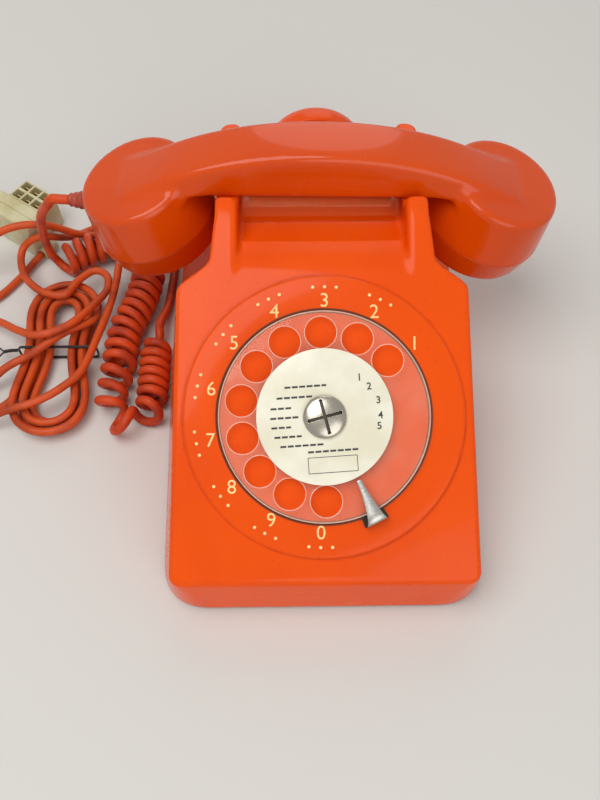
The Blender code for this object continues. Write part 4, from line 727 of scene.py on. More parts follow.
def roundedProfile(profile, radius, steps=5):
    # each inner corner of a profile becomes a short quadratic curve
    p = np.asarray(profile, dtype=float)
    before = p[:-2] - p[1:-1]
    after = p[2:] - p[1:-1]
    lengths = np.stack([np.linalg.norm(before, axis=1), np.linalg.norm(after, axis=1)], axis=1)
    reach = np.minimum(radius, lengths * 0.48)
    t = np.linspace(0.0, 1.0, steps)[None, :, None]
    start = (p[1:-1] + before / lengths[:, :1] * reach[:, :1])[:, None]
    end = (p[1:-1] + after / lengths[:, 1:] * reach[:, 1:])[:, None]
    curved = start * (1 - t) ** 2 + 2 * p[1:-1, None] * t * (1 - t) + end * t ** 2
    return np.vstack([p[:1], curved.reshape(-1, 2), p[-1:]])


def boxSolid(low, high):
    # the eight corners between low and high
    base = ((low[0], low[1]), (high[0], low[1]), (high[0], high[1]), (low[0], high[1]))
    return lofted([[(x, y, z) for x, y in base] for z in (low[2], high[2])])


def discSolid(radius, low, high, matrix, steps):
    # (radius cos a, radius sin a) at two heights
    turn = np.linspace(0.0, 2 * math.pi, steps, endpoint=False)
    ring = np.stack([radius * np.cos(turn), radius * np.sin(turn)], axis=1)
    points, faces = lofted([np.column_stack([ring, np.full(steps, z)]) for z in (low, high)])
    return transformed(points, matrix), faces


def lathe(name, profile, matrix, finish, body, steps=128, radius=0.0006, crease=40.0):
    # (r cos a, r sin a, h) for each point of the profile; a profile that starts and ends on the
    # axis is closed by poles, any other is closed back on itself
    profile = np.asarray(profile, dtype=float)
    poles = profile[0, 0] == 0.0 and profile[-1, 0] == 0.0
    if not poles:
        profile = np.vstack([profile, profile[:1]])
    profile = roundedProfile(profile, radius)
    turn = np.linspace(0.0, 2 * math.pi, steps, endpoint=False)
    rows = profile[1:-1] if poles else profile[:-1]
    rings = np.stack([rows[:, :1] * np.cos(turn), rows[:, :1] * np.sin(turn),
                      np.repeat(rows[:, 1:], steps, axis=1)], axis=-1)
    faces = gridFaces(len(rows), steps, closeRows=not poles, closeColumns=True)[:, ::-1].tolist()
    points = rings.reshape(-1, 3)
    if poles:
        count = len(points)
        points = np.vstack([points, (0.0, 0.0, profile[0, 1]), (0.0, 0.0, profile[-1, 1])])
        base = count - steps
        faces += [(count, (j + 1) % steps, j) for j in range(steps)]
        faces += [(count + 1, base + j, base + (j + 1) % steps) for j in range(steps)]
    piece = addPiece(name, transformed(points, matrix), faces, finish, body)
    area = profile[:, 0] @ np.roll(profile[:, 1], -1) - profile[:, 1] @ np.roll(profile[:, 0], -1)
    if area < 0.0:
        piece.data.flip_normals()
    return sharpen(piece, crease)


casing = {"wall": 0.0026, "halfFront": 0.0730, "halfShoulder": 0.0770, "halfRear": 0.0740,
          "frontHeight": 0.0296, "frontLean": 0.0029, "frontCorner": (0.0220, 0.0050),
          "rearCorner": 0.0150, "towerCorner": 0.0055, "slope": math.radians(27.84),
          "faceFront": 0.0666, "faceShoulder": 0.0626, "shoulderRun": 0.1272, "neckRun": 0.1380,
          "crestRun": 0.1412, "hornRun": 0.1590, "neckHalf": 0.0490, "crestHalf": 0.0486,
          "hornHalf": 0.0464, "hornWidth": 0.0099, "deckHalf": 0.0710, "deckHeight": 0.0280,
          "footHalf": 0.0475, "footHeight": 0.0500, "trough": 0.0977, "troughHalf": 0.0190,
          "hornRise": 0.0072, "rearHornRise": 0.0004, "recess": 0.0860, "rampDrop": 0.0070,
          "rampEnd": 0.1515, "recessEnd": 0.2005, "sill": 0.0930, "edge": 0.0024,
          "dialHole": 0.0380, "hookSlot": (0.0330, 0.1800), "slotHalf": (0.0024, 0.0080),
          "slotFrom": 0.0780, "glandHole": 0.0036, "glandsFrom": 0.1900,
          "cornerHeights": (0.020, 0.055), "neckRise": 0.0400, "topBlend": 0.0045,
          "recessCorner": 0.0030, "recessLip": 0.0034, "troughLip": 0.0024, "rimEdge": 0.0014,
          "innerEdge": 0.0006, "holeDepth": 0.0100, "holeEdge": 0.0008, "cell": 0.00133}


def faceHeight(y):
    # the dial face rises at one slope from the front edge
    return casing["frontHeight"] + (y - casing["frontLean"]) * math.tan(casing["slope"])


def faceY(run):
    # how far back a run along the dial face reaches
    return casing["frontLean"] + run * math.cos(casing["slope"])


def halfWidth(y, z):
    # half the casing's width at a height: it leans in to the dial face, and behind the shoulder
    # it is a low deck with a narrow neck standing on it
    c = casing
    shoulder, neck = faceY(c["shoulderRun"]), faceY(c["neckRun"])
    low = np.interp(y, (0.0, shoulder, cordShape["caseLength"]),
                    (c["halfFront"], c["halfShoulder"], c["halfRear"]))
    high = np.interp(y, (c["frontLean"], shoulder), (c["faceFront"], c["faceShoulder"]))
    rim = cordShape["rim"]
    wide = low + (high - low) * np.clip((z - rim) / (faceHeight(y) - rim), 0.0, 1.3)
    upper = np.interp(y, (neck, faceY(c["crestRun"]), faceY(c["hornRun"])),
                      (c["neckHalf"], c["crestHalf"], c["hornHalf"]))
    foot = np.maximum(c["footHalf"], upper + 0.0008)
    deck = low + (c["deckHalf"] - low) * np.clip((z - rim) / (c["deckHeight"] - rim), 0.0, 1.0)
    climb = np.clip((z - c["deckHeight"]) / (c["footHeight"] - c["deckHeight"]), 0.0, 1.0)
    slope = deck + (foot - deck) * climb
    narrow = slope + (upper - slope) * np.clip((z - c["footHeight"]) / c["neckRise"], 0.0, 1.0)
    return wide + (narrow - wide) * ease((y - shoulder + 0.0010) / (neck - shoulder + 0.0030))


def casingField(p):
    # roughly the distance outside the moulding: walls, sloping face and horn tops meet in rounded
    # edges, the recess and the trough are cut in, and the same form moved in by the wall is taken out
    c = casing
    x, y, z = np.abs(p[:, 0]), p[:, 1] - frontEdge, p[:, 2]
    half = halfWidth(y, z)
    step = 0.5 * mm
    lean = np.sqrt(1.0 + ((halfWidth(y + step, z) - half) / step) ** 2
                   + ((halfWidth(y, z + step) - half) / step) ** 2)
    front = c["frontLean"] * (z - cordShape["rim"]) / (c["frontHeight"] - cordShape["rim"]) - y
    rear = y - rearY(z)
    corner = np.interp(z, c["cornerHeights"], (c["rearCorner"], c["towerCorner"]))
    frontCorner = np.interp(z, (cordShape["rim"], c["frontHeight"]), c["frontCorner"])
    walls = roundMax(roundMax((x - half) / lean, front, frontCorner), rear, corner)
    hornTop = c["trough"] + np.where(y < cup["y"], c["hornRise"], c["rearHornRise"])
    top = roundMax((z - faceHeight(y)) * math.cos(c["slope"]), z - hornTop, c["topBlend"])
    whole = roundMax(walls, top, c["edge"])
    crest = faceY(c["crestRun"])
    ramp = faceHeight(crest) - c["rampDrop"] * (y - crest) / (c["rampEnd"] - crest)
    floor = c["recess"] + (ramp - c["recess"]) * (1.0 - ease((y - c["rampEnd"]) / 0.0020))
    between = x - (c["hornHalf"] - c["hornWidth"])
    inner = c["recessCorner"]
    recess = np.minimum(roundMax(roundMax(between, floor - z, inner), y - c["recessEnd"], inner),
                        roundMax(between, c["sill"] - z, inner))
    whole = roundMax(whole, -recess, c["recessLip"])
    trough = roundMax(c["trough"] - z, np.abs(y - cup["y"]) - c["troughHalf"], inner)
    whole = roundMax(whole, -trough, c["troughLip"])
    shell = roundMax(whole, cordShape["rim"] - z, c["rimEdge"])
    shell = roundMax(shell, -(whole + c["wall"]), c["innerEdge"])
    onFace = transformed(p, dialFrame.inverted())
    hole = np.maximum(np.hypot(onFace[:, 0], onFace[:, 1]) - c["dialHole"],
                      np.abs(onFace[:, 2]) - c["holeDepth"])
    slot = np.maximum(np.maximum(np.abs(x - c["hookSlot"][0]) - c["slotHalf"][0],
                                 np.abs(y - c["hookSlot"][1]) - c["slotHalf"][1]), c["slotFrom"] - z)
    glands = np.min([np.hypot(p[:, 0] - cordShape[k], z - cordShape["glandZ"])
                     for k in ("lineX", "handsetX", "earpieceX")], axis=0) - c["glandHole"]
    cuts = np.minimum(np.minimum(hole, slot), np.maximum(glands, c["glandsFrom"] - y))
    return roundMax(shell, -cuts, c["holeEdge"])


dialJoint = next(j for j in frame["joints"] if j["name"] == "dial_spin")
dialFrame = standing(dialJoint["axis"], dialJoint["pos_m"])


def fromDial(finish):
    # the distance from the middle of the dial, for marks that follow its rings
    return finish.length(finish.place(move=tuple(-v for v in dialJoint["pos_m"])))


def housingFinish():
    # painted shade in the seam round the number ring, broken by noise
    finish = orangePlastic("orangeCasing")
    seam = 1.0 - (fromDial(finish) - 0.0606).abs().band(0.0, 0.0011)
    broken = finish.noise(0.006, 3.0).band(0.30, 0.65)
    return paintShadeOver(finish, orangeShade["grimeAndShade"], seam * broken * 0.22)


def makeHousing():
    # the casing's surface, read from its field in a box that just holds it
    low = at((-0.0790, -0.0015, 0.0008))
    high = at((0.0790, cordShape["caseLength"] + 0.0015, 0.1070))
    points, faces = meshOfField(casingField, low, high, casing["cell"])
    housing = addPiece("casingShell", points, faces.tolist(), housingFinish(), "telephone_base")
    slopeNormals(housing, casingField, points)
    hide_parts("housing")


makeHousing()
print("casing is moulded")


dial = {"ring": 0.0603, "ringThick": 0.0018, "well": 0.0458, "wellDepth": 0.0007, "bore": 0.0075,
        "wheel": 0.0443, "wheelLift": 0.0036, "wheelThick": 0.0022, "hole": 0.0069,
        "holeCircle": 0.0356, "firstHole": 41.2, "holeStep": 25.5, "card": 0.0287,
        "cardThick": 0.0005, "screw": 0.0091, "dome": 0.0030, "digitCircle": 0.0493,
        "firstDigit": 38.4, "digitSize": 0.0084, "dotCircle": 0.0553, "dot": 0.00068,
        "dotStep": 5.2, "cardBore": 0.0043, "ink": 0.00004, "stop": -64.0}
gap = cordShape["gap"]
ringTop = gap + dial["ringThick"]
wheelTop = dial["wheelLift"] + dial["wheelThick"]
cardTop = wheelTop + gap + dial["cardThick"]


def flatShape(name, outlines, thick, edge, finish, body, matrix):
    # filled outlines given a thickness and a rounded edge
    curve = bpy.data.curves.new(name, "CURVE")
    curve.dimensions = "2D"
    curve.fill_mode = "BOTH"
    curve.extrude = thick / 2 - edge
    curve.bevel_depth = edge
    curve.bevel_resolution = 3
    for outline in outlines:
        spline = curve.splines.new("POLY")
        spline.points.add(len(outline) - 1)
        spline.points.foreach_set("co", np.column_stack([outline, np.zeros(len(outline)),
                                                         np.ones(len(outline))]).ravel())
        spline.use_cyclic_u = True
    holder = bpy.data.objects.new(name, curve)
    bpy.context.collection.objects.link(holder)
    mesh = meshOf(holder)
    mesh.transform(matrix)
    piece = bpy.data.objects.new(name, mesh)
    bpy.context.collection.objects.link(piece)
    mesh.materials.clear()
    mesh.materials.append(finish.material)
    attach(piece, body)
    return piece


def meshOf(holder):
    # a curve's or a text's mesh, its object gone
    bpy.context.view_layer.update()
    depsgraph = bpy.context.evaluated_depsgraph_get()
    mesh = bpy.data.meshes.new_from_object(holder.evaluated_get(depsgraph), depsgraph=depsgraph)
    bpy.data.objects.remove(holder, do_unlink=True)
    return mesh


def circle(radius, centre=(0.0, 0.0), steps=96):
    # centre + radius (cos a, sin a)
    turn = np.linspace(0.0, 2 * math.pi, steps, endpoint=False)
    return np.column_stack([centre[0] + radius * np.cos(turn), centre[1] + radius * np.sin(turn)])


def onDial(x=0.0, y=0.0, height=0.0, turn=0.0):
    # a place on the dial face, with Z straight out of it
    return dialFrame @ Matrix.Translation((x, y, height)) @ Matrix.Rotation(math.radians(turn), 4, "Z")


def onCircle(radius, degrees, height):
    angle = math.radians(degrees)
    return onDial(radius * math.cos(angle), radius * math.sin(angle), height)


def makeRing():
    # a turned disc with a shallow well for the wheel, its wall painted dark as the shade in the gap
    # round the wheel's rim
    high = ringTop
    floor = high - dial["wellDepth"]
    profile = [(dial["bore"], gap), (dial["ring"], gap), (dial["ring"], high - 0.0007),
               (dial["ring"] - 0.0010, high), (dial["well"], high), (dial["well"] - 0.0004, floor),
               (dial["bore"], floor)]
    finish = orangePlastic("orangeRing")
    # painted shadow: a dark ring over the gap between the wheel's rim and the well's wall
    gapShade = 1.0 - (fromDial(finish) - 0.0453).abs().band(0.0008, 0.0012)
    paintShadeOver(finish, (0.085, 0.050, 0.028), gapShade * 0.88)
    ring = lathe("numberRing", profile, dialFrame, finish, "telephone_base", 192,
                 0.0003)
    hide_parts("number_ring")


def clearPlastic(name, alpha, tint):
    # thin tinted clear plastic, cloudier where it is scuffed
    finish = Finish(name, Base_Color=tint, Coat_Weight=1.0, Coat_Roughness=0.04)
    scuffs = finish.noise(0.0030, 4.0, spot=finish.place(scale=(1.0, 6.0, 6.0))).band(0.55, 0.75)
    bloom = finish.noise(0.020, 2.0).band(0.3, 0.7)
    finish.set(Alpha=alpha + 0.07 * scuffs + 0.05 * bloom, Roughness=0.12 + 0.20 * scuffs)
    return finish


def makeWheel():
    # a disc with ten finger holes; its rounded edges take a paler, more opaque finish than its faces, a
    # painted highlight
    holes = np.radians(dial["firstHole"] + dial["holeStep"] * np.arange(10))
    centres = dial["holeCircle"] * np.column_stack([np.cos(holes), np.sin(holes)])
    outlines = [circle(dial["wheel"], steps=192), circle(dial["cardBore"], steps=48)]
    outlines += [circle(dial["hole"] + 0.0002, centre, 72) for centre in centres]
    wheel = flatShape("fingerWheel", outlines, dial["wheelThick"], 0.00045,
                      clearPlastic("clearWheel", 0.07, srgb(252, 214, 188)), "dial",
                      onDial(height=dial["wheelLift"] + dial["wheelThick"] / 2))
    # painted highlight: the steep edge faces get a whiter, more opaque clear finish
    wheel.data.materials.append(clearPlastic("wheelEdge", 0.62, srgb(255, 226, 205)).material)
    normals = np.empty(len(wheel.data.polygons) * 3)
    wheel.data.polygons.foreach_get("normal", normals)
    steep = np.abs(normals.reshape(-1, 3) @ np.array(dialJoint["axis"])) < 0.9
    wheel.data.polygons.foreach_set("material_index", steep.astype(np.int32))
    wheel.data.polygons.foreach_set("use_smooth", np.full(len(steep), True))
    sharpen(wheel, 35.0)
    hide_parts("finger_wheel")


def inkFinish(name, colour):
    # printed ink, a little paler and duller where it is worn
    finish = Finish(name)
    worn = finish.noise(0.0012, 3.0).band(0.30, 0.62)
    finish.set(Base_Color=finish.mix(worn, tuple(0.75 * v for v in colour), colour),
               Roughness=0.45 + 0.1 * worn)
    return finish


def written(name, marks, weight, finish, body):
    # (text, size, matrix) marks of plain figures, joined into one thin mesh
    meshes = []
    for text, size, matrix in marks:
        font = bpy.data.curves.new(name, "FONT")
        font.body = text
        font.size = size
        font.align_x = "CENTER"
        font.align_y = "CENTER"
        font.extrude = 0.00003
        font.offset = weight
        font.resolution_u = 4
        holder = bpy.data.objects.new(name, font)
        bpy.context.collection.objects.link(holder)
        mesh = meshOf(holder)
        mesh.transform(matrix)
        meshes.append(mesh)
    return joined(name, meshes, finish, body)


def joined(name, meshes, finish, body):
    # several small meshes as one piece
    counts = np.cumsum([0] + [len(m.vertices) for m in meshes])
    points, faces = [], []
    for mesh, start in zip(meshes, counts):
        co = np.empty(len(mesh.vertices) * 3)
        mesh.vertices.foreach_get("co", co)
        points.append(co.reshape(-1, 3))
        faces += [tuple(int(start) + v for v in polygon.vertices) for polygon in mesh.polygons]
        bpy.data.meshes.remove(mesh)
    return addPiece(name, np.vstack(points), faces, finish, body, smooth=False)


def flatMesh(outline, thick, matrix):
    # an outline at two heights, closed round and at both ends
    ring = np.asarray(outline)
    points, faces = lofted([np.column_stack([ring, np.full(len(ring), z)])
                            for z in (-thick / 2, thick / 2)])
    mesh = bpy.data.meshes.new("mark")
    mesh.from_pydata(transformed(points, matrix), [], faces)
    mesh.update()
    return mesh


def makeDigits():
    # a figure beside each hole, and three dots outside all but the first
    high = ringTop + dial["ink"]
    cream = srgb(253, 218, 142)
    angles = [dial["firstDigit"] + dial["holeStep"] * i for i in range(10)]
    figures = [(str((i + 1) % 10), dial["digitSize"], onCircle(dial["digitCircle"], angle, high))
               for i, angle in enumerate(angles)]
    written("dialFigures", figures, 0.0, inkFinish("creamInk", cream), "telephone_base")
    spread = (-dial["dotStep"], 0.0, dial["dotStep"])
    dots = [flatMesh(circle(dial["dot"], steps=16), 0.00006,
                     onCircle(dial["dotCircle"], angle + step, high))
            for angle in angles[1:] for step in spread]
    joined("dialDots", dots, inkFinish("creamDots", cream), "telephone_base")


# print on the card in millimetres: rows as height, start and end, figures as text and place
cardPrint = {"rows": ((13.2, -16.0, 1.5), (8.9, -19.6, -4.0), (4.6, -22.4, -13.8), (0.6, -22.8, -9.8),
                      (-3.4, -22.6, -14.4), (-7.4, -21.6, -10.2), (-11.4, -19.4, -1.0),
                      (-14.4, -8.0, 13.0)),
             "dash": 2.5, "dashStep": 3.1, "shortest": 0.8, "weight": 0.85, "boxWeight": 0.28,
             "box": (-8.2, 12.4, -23.4, -16.8), "turn": 3.5,
             "figures": (("1", 15.6, 15.4), ("2", 19.4, 11.4), ("3", 22.9, 5.4), ("4", 23.4, -1.0),
                         ("5", 22.6, -5.4)),
             "figureSize": 4.2}


def makeCard():
    # aged card with rows of dashes, an empty box and a column of figures
    finish = Finish("printedCard", Coat_Weight=0.6, Coat_Roughness=0.15)
    age = finish.noise(0.020, 3.0).band(0.30, 0.72)
    fibre = finish.noise(0.0004, 2.0).band(0.4, 0.7)
    tone = finish.mix(age, srgb(240, 236, 216), srgb(226, 219, 192))
    finish.set(Base_Color=finish.mix(fibre * 0.06, tone, srgb(150, 130, 96)),
               Roughness=0.42 + 0.12 * age)
    bore = dial["cardBore"]
    under = wheelTop + gap
    profile = [(bore, under), (dial["card"], under), (dial["card"], cardTop), (bore, cardTop)]
    card = lathe("numberCard", profile, dialFrame, finish, "dial", 144, 0.00008, 50.0)
    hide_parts("number_card")
    ink = inkFinish("blackInk", srgb(52, 50, 48))
    turned = onDial(height=cardTop + dial["ink"], turn=cardPrint["turn"])

    def bar(x0, x1, y0, y1):
        outline = np.array([(x0, y0), (x1, y0), (x1, y1), (x0, y1)]) * mm
        return flatMesh(outline, 0.00005, turned)

    half, line = cardPrint["weight"] / 2, cardPrint["boxWeight"] / 2
    left, right, low, high = cardPrint["box"]
    marks = [bar(x, min(x + cardPrint["dash"], end), y - half, y + half)
             for y, start, end in cardPrint["rows"]
             for x in np.arange(start, end - cardPrint["shortest"], cardPrint["dashStep"])]
    marks += [bar(left, right, y - line, y + line) for y in (low, high)]
    marks += [bar(x - line, x + line, low, high) for x in (left, right)]
    joined("cardRules", marks, ink, "dial")
    figures = [(text, cardPrint["figureSize"] * mm, turned @ Matrix.Translation((x * mm, y * mm, 0.0)))
               for text, x, y in cardPrint["figures"]]
    written("cardFigures", figures, 0.00007, ink, "dial")


def metal(name, tone, rough, brushed=None):
    # bright metal with fine wear; brushed stretches the grain along an axis
    finish = Finish(name, Metallic=1.0)
    spot = finish.place(scale=brushed) if brushed else None
    grain = finish.noise(0.0012, 4.0, spot=spot).band(0.35, 0.70)
    stain = finish.noise(0.0060, 3.0).band(0.40, 0.75)
    finish.set(Base_Color=finish.mix(stain * 0.3, tone, tuple(0.65 * v for v in tone)),
               Roughness=rough + 0.06 * grain + 0.05 * stain,
               Normal=finish.bump(grain, 0.00003, 0.4))
    return finish


screw = {"skirt": 0.0005, "power": 0.9, "tilt": 15.0, "slotHalf": 0.00045, "slotEdge": 0.00018,
         "slotReach": 0.0068, "slotEnd": 0.0008, "slotDepth": 0.0015}


def makeScrew():
    # height over a disc: a dome less two crossed slots, each a smooth step in its width and length
    base = cardTop + gap
    radius, dome, skirt = dial["screw"], dial["dome"], screw["skirt"]
    r = radius * np.concatenate([np.linspace(0.0, 0.80, 46)[1:], np.linspace(0.81, 1.0, 18)])
    turn = np.linspace(0.0, 2 * math.pi, 240, endpoint=False)
    x, y = r[:, None] * np.cos(turn), r[:, None] * np.sin(turn)
    swell = np.sqrt(np.maximum(1.0 - (r[:, None] / radius) ** 2, 0.0)) ** screw["power"]
    height = skirt + (dome - skirt) * swell
    tilt = math.radians(screw["tilt"])
    u, v = x * math.cos(tilt) + y * math.sin(tilt), y * math.cos(tilt) - x * math.sin(tilt)

    def slot(a, b):
        within = 1.0 - ease((np.abs(b) - screw["slotHalf"]) / screw["slotEdge"])
        return within * (1.0 - ease((np.abs(a) - screw["slotReach"]) / screw["slotEnd"]))

    cross = np.maximum(slot(u, v), slot(v, u))
    height = height - screw["slotDepth"] * cross
    top = np.stack([x, y, base + height], axis=-1)
    rows = np.concatenate([top, np.stack([x[-1:], y[-1:], np.full_like(x[-1:], base)], axis=-1)])
    count = rows.shape[0] * rows.shape[1]
    steps = len(turn)
    points = np.vstack([rows.reshape(-1, 3), (0.0, 0.0, base + dome - screw["slotDepth"]),
                        (0.0, 0.0, base)])
    faces = gridFaces(len(rows), steps, closeColumns=True).tolist()
    faces += [(count, j, (j + 1) % steps) for j in range(steps)]
    faces += [(count + 1, count - steps + (j + 1) % steps, count - steps + j) for j in range(steps)]
    head = addPiece("centreScrew", transformed(points, dialFrame), faces,
                    metal("nickelScrew", (0.42, 0.385, 0.32), 0.20), "dial")
    head.data.materials.append(metal("slotShadow", (0.10, 0.085, 0.065), 0.5).material)
    # painted shadow: the slot faces and the skirt's side take the dark slotShadow finish
    dark = np.zeros(len(faces), dtype=np.int32)
    dark[:(len(r) - 1) * steps] = (cross[:-1] > 0.35).ravel()
    dark[len(rows) * steps - steps:len(rows) * steps] = 1
    head.data.polygons.foreach_set("material_index", dark)
    sharpen(head, 50.0)
    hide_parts("centre_screw")


stopShape = {"along": (0.0, 0.16, 0.34, 1.0), "reach": (0.0494, 0.0496, 0.0470, 0.0300),
             "tip": 0.0011, "flare": 0.0044, "flareFrom": 0.06, "flareOver": 0.88,
             "flarePower": 1.5, "crown": 0.0007, "crownAt": 0.0042, "lean": 0.0008, "thick": 0.0010,
             "bracketTurn": 6.4, "bracketOut": 0.0500, "bracketHigh": 0.0011}


def makeStop():
    # a blade bent over the wheel: a strip whose width and height are read off along its length
    along = np.linspace(0.0, 1.0, 40)
    b = stopShape
    reach = np.interp(along, b["along"], b["reach"])
    lift = np.interp(along, b["along"],
                     (ringTop + gap, wheelTop + 0.0016, wheelTop + 0.0030, wheelTop + 0.0018))
    for _ in range(5):
        reach[1:-1] = (reach[:-2] + 2 * reach[1:-1] + reach[2:]) / 4
        lift[1:-1] = (lift[:-2] + 2 * lift[1:-1] + lift[2:]) / 4
    past = np.clip((along - b["flareFrom"]) / b["flareOver"], 0.0, 1.0)
    half = b["tip"] + b["flare"] * (1.0 - past) ** b["flarePower"]
    across = np.linspace(-1.0, 1.0, 13)
    crown = b["crown"] * (1.0 - across ** 2)
    top = np.stack([np.repeat(reach[:, None], 13, axis=1),
                    half[:, None] * across + b["lean"] * ease(along)[:, None],
                    lift[:, None] + crown * (half[:, None] / b["crownAt"])], axis=-1)
    under = top[:, ::-1] - np.array((0.0, 0.0, b["thick"]))
    points, faces = lofted(np.concatenate([top, under], axis=1))
    stop = addPiece("fingerStop", transformed(points, onDial(turn=dial["stop"])), faces,
                    metal("brightStop", (0.44, 0.43, 0.39), 0.24, (1.0, 8.0, 1.0)), "telephone_base")
    carved(stop, bevel(0.00025, 3, 40.0))
    sharpen(stop, 50.0)
    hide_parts("finger_stop")
    turn = np.radians(np.linspace(-b["bracketTurn"], b["bracketTurn"], 24))
    arc = np.column_stack([np.cos(turn), np.sin(turn)])
    outline = np.vstack([(dial["wheel"] + gap) * arc, b["bracketOut"] * arc[::-1]])
    points, faces = lofted([np.column_stack([outline, np.full(len(outline), z)])
                            for z in (ringTop - dial["wellDepth"], ringTop + b["bracketHigh"])])
    bracket = addPiece("stopBracket", transformed(points, onDial(turn=dial["stop"])), faces,
                       metal("darkBracket", (0.055, 0.045, 0.035), 0.45), "telephone_base",
                       False)
    facingOut(bracket)


makeRing()
makeWheel()
makeDigits()
makeCard()
makeScrew()
makeStop()
print("dial is dressed")


handset = {"top": 0.1185, "arch": 2.62, "bow": 80.0, "low": 0.0980, "halfTop": 0.0119,
           "halfLow": 0.0153, "reach": 0.0900, "bendAt": 48.0, "bend": 0.0227, "bendPower": 1.85,
           "edge": 0.0028, "cupEdge": 0.0030, "blend": 0.0042, "cavity": 0.0240, "capsule": 0.0215,
           "cell": 0.0010}


def handsetField(p):
    # the arched handle, its sides leaning in towards the top, flows into two flared cups
    h = handset
    x, y, z = np.abs(p[:, 0]), np.abs(p[:, 1]), p[:, 2]
    top = h["top"] - h["arch"] * x ** 2 - h["bow"] * x ** 4
    low = h["low"] - h["bend"] * np.maximum(x / mm - h["bendAt"], 0.0) ** h["bendPower"] * mm
    share = np.clip((z - low) / (top - low), -0.3, 1.3)
    half = h["halfLow"] + (h["halfTop"] - h["halfLow"]) * share
    topSlope = 2 * h["arch"] * x + 4 * h["bow"] * x ** 3
    crown = 0.0006 * (1.0 - (y / h["halfTop"]) ** 2)
    handle = roundMax((z - top - crown) / np.sqrt(1 + topSlope ** 2), (y - half) * 0.985, h["edge"])
    handle = roundMax(handle, (low - z) * 0.92, h["edge"])
    handle = roundMax(handle, x - h["reach"], h["edge"])
    tilt = math.radians(cup["tilt"])
    dx, dz = x - cup["x"], z - cup["top"]
    down = -(math.sin(tilt) * dx + math.cos(tilt) * dz)
    r = np.sqrt((math.cos(tilt) * dx - math.sin(tilt) * dz) ** 2 + y ** 2)
    flare = cupFlare()
    side = (r - cup["radius"] - (down - cup["shoulder"]) * math.tan(flare)) * math.cos(flare)
    bowl = roundMax(roundMax(side, -down, h["cupEdge"]), down - cup["seamDrop"] - 0.0040, 0.0005)
    whole = -roundMax(-handle, -bowl, h["blend"])
    hollow = roundMax(r - h["cavity"], 0.0052 - down, 0.0030)
    return roundMax(whole, -hollow, 0.0010)


def makeHandset():
    # the field's surface, with each cup cut off square at its seam and closed
    points, faces = meshOfField(handsetField, (-0.1200, -0.0330, 0.0590), (0.1200, 0.0330, 0.1215),
                                handset["cell"])
    # the handset's orange is a darker copy of the casing's, painted shade
    shell = addPiece("handsetBody", transformed(points, handsetFrame), faces.tolist(),
                     orangePlastic("orangeHandset", shade=0.78, coat=0.45), "handset")
    work = bmesh.new()
    work.from_mesh(shell.data)
    for side in (-1, 1):
        reached = [v for v in work.verts if side * v.co.x > 0.045]
        near = set(reached)
        reached += [part for parts in (work.edges, work.faces) for part in parts
                    if any(v in near for v in part.verts)]
        place = cupFrame(side)
        down = place.to_3x3() @ Vector((0.0, 0.0, -1.0))
        cut = bmesh.ops.bisect_plane(work, geom=reached, dist=1e-6, clear_outer=True, plane_no=down,
                                     plane_co=place @ Vector((0.0, 0.0, -cup["seamDrop"])))
        rim = [e for e in cut["geom_cut"] if isinstance(e, bmesh.types.BMEdge)]
        bmesh.ops.triangle_fill(work, edges=rim, use_beauty=False, normal=down)
    bmesh.ops.recalc_face_normals(work, faces=work.faces)
    work.to_mesh(shell.data)
    work.free()
    shell.data.polygons.foreach_set("use_smooth", np.full(len(shell.data.polygons), True))
    sharpen(shell, 40.0)
    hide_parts("handset_shell")


soundHoles = {"rings": ((6, 0.0045), (12, 0.0090)), "radius": 0.0008, "edge": 0.0005,
              "depth": 0.0011, "reach": 0.0150}


def holeRings():
    # sound holes: one in the middle, six and twelve round it
    rings = [(0.0, 0.0)]
    for count, radius in soundHoles["rings"]:
        turn = np.arange(count) * 2 * math.pi / count
        rings += list(zip(radius * np.cos(turn), radius * np.sin(turn)))
    return np.array(rings)


def capPiece(name, profile, matrix, finish, body):
    # a lathed cap whose flat face, out to the holes' reach, is a polar grid with the sound holes
    # pressed into it as smooth steps of depth
    steps = 144
    reach = soundHoles["reach"]
    outer = roundedProfile(profile, 0.0009)
    beyond = outer[:, 0] > reach + 0.0004
    inside = ~beyond & (outer[:, 1] > profile[1][1] + 0.0010)
    flat = np.linspace(0.0, reach, 64)[1:]
    face = np.column_stack([flat, np.interp(flat, (0.0, reach), (profile[0][1], profile[1][1]))])
    rows = np.vstack([face, outer[beyond][:-1], outer[:-1][inside[:-1]]])
    turn = np.linspace(0.0, 2 * math.pi, steps, endpoint=False)
    rings = np.stack([rows[:, :1] * np.cos(turn), rows[:, :1] * np.sin(turn),
                      np.repeat(rows[:, 1:], steps, axis=1)], axis=-1)
    spots = rings[:len(flat), :, None, :2] - holeRings()
    away = np.linalg.norm(spots, axis=-1) - soundHoles["radius"]
    pressed = (1.0 - ease(away / soundHoles["edge"])).max(axis=-1)
    rings[:len(flat), :, 2] += soundHoles["depth"] * pressed
    middle = profile[0][1] + soundHoles["depth"]
    points = np.vstack([rings.reshape(-1, 3), (0.0, 0.0, middle), (0.0, 0.0, outer[-1, 1])])
    count = len(rows) * steps
    faces = gridFaces(len(rows), steps, closeColumns=True).tolist()
    faces += [(count, j, (j + 1) % steps) for j in range(steps)]
    faces += [(count + 1, count - steps + (j + 1) % steps, count - steps + j) for j in range(steps)]
    cap = addPiece(name, transformed(points, matrix), faces, finish, body)
    return sharpen(facingOut(cap), 40.0)


